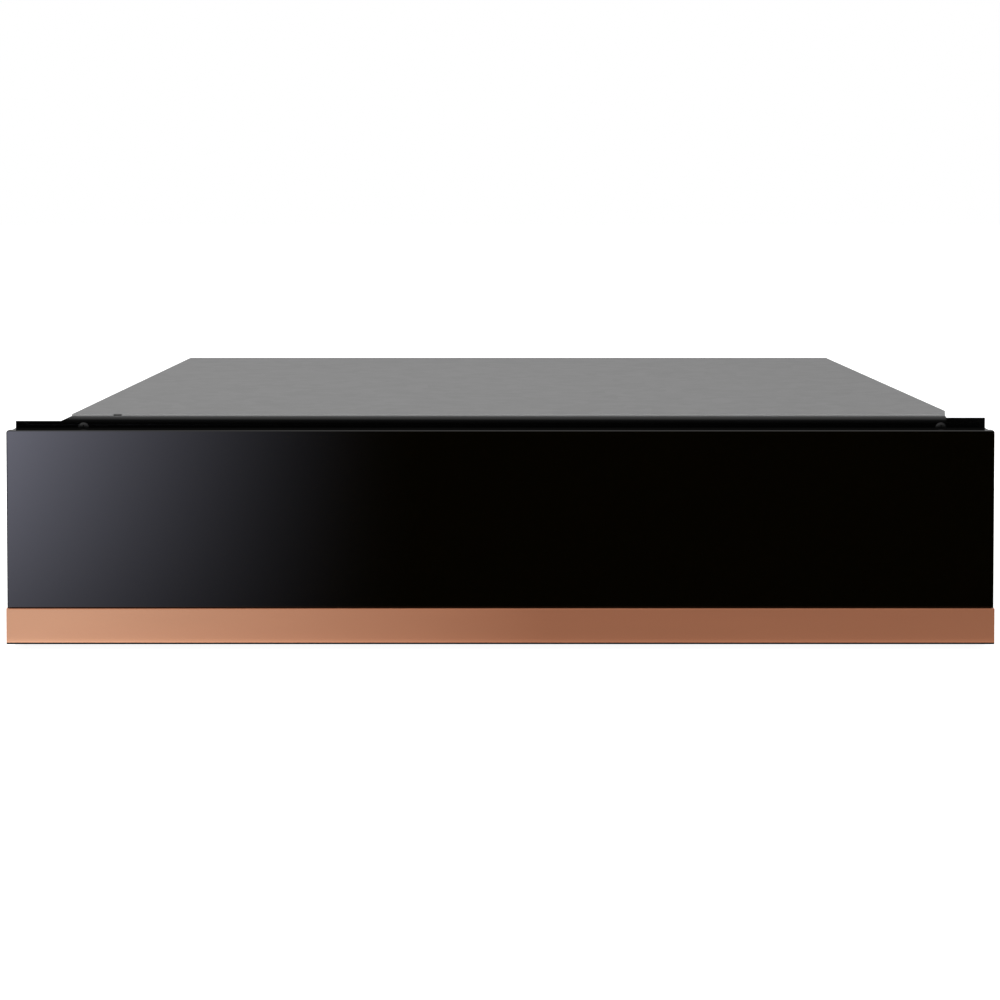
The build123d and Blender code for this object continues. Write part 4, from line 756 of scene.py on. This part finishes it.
class DRAWER_OT_screws(PieceOperator):
    """Cross-recessed screws in place of the plain ones"""

    bl_idname = "drawer.screws"
    bl_label = "Screws"

    def execute(self, context):
        tree = self.screw_tree()
        plating = plated_finish(self.colours.plating).material
        coat = Finish("black-coated steel", self.colours.black_coat, 0.25, specular=0.4)
        coat.wear(coat.noise(700.0), 0.18, 0.30)
        coat.mottle(coat.noise(300.0), 0.7, 1.4)
        for node, body, slot, material, front in (
            ("frame_screws", "housing", "black_screw", coat.material, True),
            ("rear_screws", "housing", "screw_steel", plating, False),
            ("tub_screws", "drawer", "screw_steel", plating, False),
        ):
            rise = self.fittings.head_rise
            seats = []
            for low, high in solid_boxes(node):
                seat = low.y + rise if front else high.y - rise
                seats.append(((low.x + high.x) / 2, seat, (low.z + high.z) / 2))
            size = high - low
            values = {
                "Head Radius": size.x / 2,
                "Head Rise": rise,
                "Shank Radius": self.fittings.shank_radius,
                "Shank Length": size.y - rise,
                "Recess Width": self.fittings.recess_width,
                "Recess Depth": self.fittings.recess_depth,
                "Turn": (math.pi / 2 if front else -math.pi / 2, 0.0, 0.0),
                "Material": material,
            }
            crossed = tree.grow("crossed_" + node, points_mesh(node, seats), values)
            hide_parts(node)
            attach(crossed, body)
        return {"FINISHED"}

    def screw_tree(self):
        """Pan-head screw with a cross recess, set on every point of the host."""
        tree = Tree("cross screws")
        tree.ask("Float", "Head Radius", "Head Rise", "Shank Radius", "Shank Length")
        tree.ask("Float", "Recess Width", "Recess Depth")
        tree.ask("Rotation", "Turn")
        tree.ask("Material", "Material")
        radius, rise = tree.given("Head Radius"), tree.given("Head Rise")
        blank = tree.cylinder(radius, rise, tree.reckon("MULTIPLY", rise, 0.5))
        facets = [("Segments", 32), ("Rings", 24), ("Radius", 1.0)]
        ball = tree.add("GeometryNodeMeshUVSphere", facets, output="Mesh")
        wide = tree.reckon("MULTIPLY", radius, HEAD_BALL_SHARE)
        dome = tree.add(
            "GeometryNodeTransform", [("Geometry", ball), ("Scale", tree.vector(wide, wide, rise))]
        )
        both = [("Mesh 2", blank), ("Mesh 2", dome)]
        head = tree.add("GeometryNodeMeshBoolean", both, output="Mesh", operation="INTERSECT")
        arm, width = tree.reckon("MULTIPLY", radius, CROSS_SHARE), tree.given("Recess Width")
        depth = tree.reckon("MULTIPLY", tree.given("Recess Depth"), 2.0)
        for sides in ((arm, width, depth), (width, arm, depth)):
            bar = tree.add("GeometryNodeMeshCube", [("Size", tree.vector(*sides))], output="Mesh")
            slot = tree.add(
                "GeometryNodeTransform", [("Geometry", bar), ("Translation", tree.vector(0.0, 0.0, rise))]
            )
            both = [("Mesh 1", head), ("Mesh 2", slot)]
            head = tree.add("GeometryNodeMeshBoolean", both, output="Mesh", operation="DIFFERENCE")
        shank_length = tree.given("Shank Length")
        middle = tree.reckon("MULTIPLY", shank_length, -0.5)
        shank = tree.cylinder(tree.given("Shank Radius"), shank_length, middle)
        screw = tree.add("GeometryNodeJoinGeometry", [("Geometry", head), ("Geometry", shank)])
        tree.end(
            tree.add(
                "GeometryNodeInstanceOnPoints",
                [("Points", tree.given("Geometry")), ("Instance", screw), ("Rotation", tree.given("Turn"))],
            )
        )
        return tree


# Floor, in metres; what lies near the CAD box counts from its front or its foot
FLOOR_SHADE = (0.5, 0.5, 0.5)
FLOOR_REACH = 40.0
FLOOR_DROP = 0.0002
# Cards that the glass mirrors
CARD_AWAY = -3.0
MIRROR_TINT = (0.80, 0.81, 1.0)
MIRROR_LEFT = -1.10
MIRROR_RIGHT = -0.12
MIRROR_LOW = -0.75
MIRROR_HIGH = 0.30
MIRROR_BRIGHT_X = -0.93
MIRROR_BRIGHT_Z = -0.15
MIRROR_BEND = 2.5
SHEEN_REACH = 5.0
SHEEN_NEAR = -1.0
SHEEN_HEIGHT = -1.0
SHEEN_DARK_X = -0.8
SHEEN_BRIGHT_X = -3.0
SHEEN_BEND = 1.3
# Fill over the camera
FILL_REACH = 2.2
FILL_LOW = 0.60
FILL_HIGH = 2.6
FILL_FADE = 1.5
FILL_LEAST = 0.45
# Strip on the floor for the copper
COPPER_TINT = (1.0, 1.3, 1.5)
COPPER_REACH = 0.8
COPPER_LIFT = 0.0004
COPPER_NEAR = 0.009
COPPER_AWAY = 0.45
COPPER_DARK_X = 0.03
COPPER_BRIGHT_X = -0.29
COPPER_LEAST_X = 0.47
COPPER_DARK_Y = 0.022
COPPER_BRIGHT_Y = 0.010
COPPER_LEAST_Y = 0.62
# Gleam of the floor in steel and plastic
BOUNCE_REACH = 4.0
BOUNCE_DROP = 0.0001
# Softbox, dome and camera
SOFTBOX_PLACE = (-0.3, 0.0, 1.7)
SOFTBOX_TARGET = (0.0, 0.0, 0.1)
SOFTBOX_LENGTH = 1.6
SOFTBOX_WIDTH = 1.0
DOME_LEAN = 0.55
SENSOR_WIDTH = 36.0
VIEW_REACH = 200.0


def upright(left, right, low, high, away):
    """Corners of an upright card that faces the object from the camera's side."""
    return [(left, away, high), (right, away, high), (right, away, low), (left, away, low)]


def level(left, right, start, stop, height):
    """Corners of a level sheet that runs from one place along Y to another."""
    return [(left, start, height), (right, start, height), (right, stop, height), (left, stop, height)]


def sheet(name, corners, material):
    """Flat sheet with four corners."""
    mesh = bpy.data.meshes.new(name)
    mesh.from_pydata(corners, [], [(0, 1, 2, 3)])
    piece = join_scene(name, mesh)
    wear_finish(piece, material)
    return piece


def sheer_glow(name, tints, power, spans):
    """Glow that other light passes through. Its power is a product of ramps, each with an axis, a dark and a
    bright place, its least share and its bend. The first ramp also leads from one tint to the other."""
    material = bpy.data.materials.new(name)
    material.use_nodes = True
    nodes, links = material.node_tree.nodes, material.node_tree.links
    nodes.clear()
    place = nodes.new("ShaderNodeTexCoord")
    parts = nodes.new("ShaderNodeSeparateXYZ")
    links.new(place.outputs["Object"], parts.inputs["Vector"])
    value = nodes.new("ShaderNodeValue")
    value.outputs[0].default_value = power
    total = value.outputs[0]
    factor, sockets, hue = colour_mix(nodes)
    for socket, tint in zip(sockets, tints):
        socket.default_value = (*tint, 1.0)
    for axis, dark, bright, least, bend in spans:
        ramp = nodes.new("ShaderNodeMapRange")
        ramp.inputs["From Min"].default_value = dark
        ramp.inputs["From Max"].default_value = bright
        links.new(parts.outputs[axis], ramp.inputs["Value"])
        curve = nodes.new("ShaderNodeMath")
        curve.operation = "POWER"
        curve.inputs[1].default_value = bend
        links.new(ramp.outputs["Result"], curve.inputs[0])
        if not factor.links:
            links.new(curve.outputs["Value"], factor)
        share = nodes.new("ShaderNodeMapRange")
        share.inputs["To Min"].default_value = least
        links.new(curve.outputs["Value"], share.inputs["Value"])
        both = nodes.new("ShaderNodeMath")
        both.operation = "MULTIPLY"
        links.new(total, both.inputs[0])
        links.new(share.outputs["Result"], both.inputs[1])
        total = both.outputs["Value"]
    glow = nodes.new("ShaderNodeEmission")
    links.new(hue, glow.inputs["Color"])
    links.new(total, glow.inputs["Strength"])
    clear = nodes.new("ShaderNodeBsdfTransparent")
    sheer = nodes.new("ShaderNodeAddShader")
    links.new(glow.outputs["Emission"], sheer.inputs[0])
    links.new(clear.outputs["BSDF"], sheer.inputs[1])
    output = nodes.new("ShaderNodeOutputMaterial")
    links.new(sheer.outputs["Shader"], output.inputs["Surface"])
    return material


class DRAWER_OT_stage(PieceOperator):
    """Pale floor, soft light and the camera"""

    bl_idname = "drawer.stage"
    bl_label = "Stage"

    def execute(self, context):
        studio = context.scene.drawer_studio
        self.floor(studio)
        self.cards(studio)
        self.dome(studio)
        self.softbox(studio)
        self.camera(studio)
        context.scene.view_settings.view_transform = "Standard"
        return {"FINISHED"}

    def floor(self, studio):
        """Wide pale floor that no gloss mirrors."""
        pale = Finish("pale floor", FLOOR_SHADE, 0.9, specular=0.0)
        pale.surface.inputs["Emission Color"].default_value = (*WHITE, 1.0)
        pale.surface.inputs["Emission Strength"].default_value = studio.floor_glow
        height = CAD_BOX[0][2] - FLOOR_DROP
        corners = level(-FLOOR_REACH, FLOOR_REACH, -FLOOR_REACH, FLOOR_REACH, height)
        floor = sheet("floor", corners, pale.material)
        floor.visible_glossy = False

    def card(self, name, corners, tints, power, spans, link, *pieces):
        """Sheer light card, seen by no camera, that lights only some CAD nodes or all but these."""
        card = sheet(name, corners, sheer_glow(name, tints, power, spans))
        card.visible_camera = False
        card.visible_shadow = False
        receivers = bpy.data.collections.new(name + " receivers")
        for piece in pieces:
            receivers.objects.link(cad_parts[piece])
        for member in receivers.collection_objects:
            member.light_linking.link_state = link
        card.light_linking.receiver_collection = receivers
        return card

    def cards(self, studio):
        """Cards that the glass mirrors, fill over the camera, a strip on the floor for the copper and the
        floor's gleam in steel and plastic."""
        self.card(
            "mirror_card",
            upright(MIRROR_LEFT, MIRROR_RIGHT, MIRROR_LOW, MIRROR_HIGH, CARD_AWAY),
            (MIRROR_TINT, MIRROR_TINT),
            studio.mirror_card,
            (
                ("X", MIRROR_RIGHT, MIRROR_BRIGHT_X, 0.0, MIRROR_BEND),
                ("Z", MIRROR_LOW, MIRROR_BRIGHT_Z, 0.0, 1.0),
            ),
            "INCLUDE",
            "front_glass",
        )
        self.card(
            "sheen_card",
            level(-SHEEN_REACH, 0.0, SHEEN_NEAR, -SHEEN_REACH, SHEEN_HEIGHT),
            (WHITE, WHITE),
            studio.sheen_card,
            (("X", SHEEN_DARK_X, SHEEN_BRIGHT_X, 0.0, SHEEN_BEND),),
            "INCLUDE",
            "front_glass",
        )
        self.card(
            "fill_card",
            upright(-FILL_REACH, FILL_REACH, FILL_LOW, FILL_HIGH, CARD_AWAY),
            (WHITE, WHITE),
            studio.fill_card,
            (("X", FILL_FADE, -FILL_FADE, FILL_LEAST, 1.0),),
            "EXCLUDE",
            "front_frame",
        )
        foot, front = CAD_BOX[0][2], CAD_BOX[0][1]
        near = front - COPPER_NEAR
        self.card(
            "floor_card",
            level(-COPPER_REACH, COPPER_REACH, front - COPPER_AWAY, near, foot + COPPER_LIFT),
            (WHITE, COPPER_TINT),
            studio.floor_card,
            (
                ("X", COPPER_DARK_X, COPPER_BRIGHT_X, COPPER_LEAST_X, 1.0),
                ("Y", near - COPPER_DARK_Y, near - COPPER_BRIGHT_Y, COPPER_LEAST_Y, 1.0),
            ),
            "INCLUDE",
            "trim_strip",
        )
        bounce = self.card(
            "bounce_card",
            level(-BOUNCE_REACH, BOUNCE_REACH, -BOUNCE_REACH, BOUNCE_REACH, foot - BOUNCE_DROP),
            (WHITE, WHITE),
            studio.bounce_card,
            (),
            "EXCLUDE",
            "front_glass",
            "front_frame",
            "trim_strip",
        )
        bounce.visible_diffuse = False

    def dome(self, studio):
        """White behind the object, and light that falls off towards the camera's side."""
        world = bpy.data.worlds.new("studio dome")
        bpy.context.scene.world = world
        world.use_nodes = True
        nodes, links = world.node_tree.nodes, world.node_tree.links
        nodes.clear()
        place = nodes.new("ShaderNodeTexCoord")
        parts = nodes.new("ShaderNodeSeparateXYZ")
        links.new(place.outputs["Generated"], parts.inputs["Vector"])
        lift = nodes.new("ShaderNodeMath")
        lift.operation = "MULTIPLY_ADD"
        lift.inputs[1].default_value = DOME_LEAN
        links.new(parts.outputs["Y"], lift.inputs[0])
        links.new(parts.outputs["Z"], lift.inputs[2])
        band = nodes.new("ShaderNodeMapRange")
        band.interpolation_type = "SMOOTHSTEP"
        band.inputs["To Min"].default_value = studio.front_dome
        band.inputs["To Max"].default_value = studio.dome
        links.new(lift.outputs["Value"], band.inputs["Value"])
        above = nodes.new("ShaderNodeMath")
        above.operation = "GREATER_THAN"
        above.inputs[1].default_value = 0.0
        links.new(parts.outputs["Z"], above.inputs[0])
        light = nodes.new("ShaderNodeMath")
        light.operation = "MULTIPLY"
        links.new(band.outputs["Result"], light.inputs[0])
        links.new(above.outputs["Value"], light.inputs[1])
        path = nodes.new("ShaderNodeLightPath")
        seen = nodes.new("ShaderNodeMix")
        links.new(path.outputs["Is Camera Ray"], seen.inputs["Factor"])
        links.new(light.outputs["Value"], seen.inputs["A"])
        seen.inputs["B"].default_value = 1.0
        backdrop = nodes.new("ShaderNodeBackground")
        backdrop.inputs["Color"].default_value = (*WHITE, 1.0)
        links.new(seen.outputs["Result"], backdrop.inputs["Strength"])
        output = nodes.new("ShaderNodeOutputWorld")
        links.new(backdrop.outputs["Background"], output.inputs["Surface"])

    def softbox(self, studio):
        """Large softbox over the object."""
        light = bpy.data.lights.new("softbox", "AREA")
        light.shape = "RECTANGLE"
        light.size = SOFTBOX_LENGTH
        light.size_y = SOFTBOX_WIDTH
        light.energy = studio.softbox
        box = bpy.data.objects.new("softbox", light)
        box.location = SOFTBOX_PLACE
        box.rotation_euler = (Vector(SOFTBOX_TARGET) - box.location).to_track_quat("-Z", "Y").to_euler()
        box.visible_glossy = False
        bpy.context.scene.collection.objects.link(box)

    def camera(self, studio):
        """Camera that lays the front's and the cover's edges where the photograph has them."""
        camera = bpy.data.cameras.new("camera")
        camera.sensor_width = SENSOR_WIDTH
        camera.lens = studio.lens
        camera.shift_x = studio.shift_x
        camera.shift_y = studio.shift_y
        camera.clip_end = VIEW_REACH
        stand = bpy.data.objects.new("camera", camera)
        stand.location = studio.camera_place
        stand.rotation_euler = (math.pi / 2 - studio.camera_dip, 0.0, 0.0)
        bpy.context.scene.collection.objects.link(stand)
        bpy.context.scene.camera = stand


PIECES = (
    DRAWER_OT_front,
    DRAWER_OT_housing,
    DRAWER_OT_tub,
    DRAWER_OT_runners,
    DRAWER_OT_controls,
    DRAWER_OT_heater,
    DRAWER_OT_latches,
    DRAWER_OT_screws,
    DRAWER_OT_stage,
)


class DRAWER_PT_pieces(bpy.types.Panel):
    """Sidebar list of the drawer's pieces"""

    bl_idname = "DRAWER_PT_pieces"
    bl_label = "Warming Drawer"
    bl_space_type = "VIEW_3D"
    bl_region_type = "UI"
    bl_category = "Warming Drawer"

    def draw(self, context):
        for piece in PIECES:
            self.layout.operator(piece.bl_idname)


GROUPS = {
    "drawer_colours": DrawerColours,
    "drawer_fittings": DrawerFittings,
    "drawer_studio": DrawerStudio,
}


def register():
    for group in (*GROUPS.values(), *PIECES, DRAWER_PT_pieces):
        bpy.utils.register_class(group)
    for name, group in GROUPS.items():
        setattr(bpy.types.Scene, name, PointerProperty(type=group))


def unregister():
    for name in GROUPS:
        delattr(bpy.types.Scene, name)
    for group in reversed((*GROUPS.values(), *PIECES, DRAWER_PT_pieces)):
        bpy.utils.unregister_class(group)


def main():
    register()
    for piece in PIECES:
        group, name = piece.bl_idname.split(".")
        getattr(getattr(bpy.ops, group), name)()


if __name__ == "__main__":
    main()
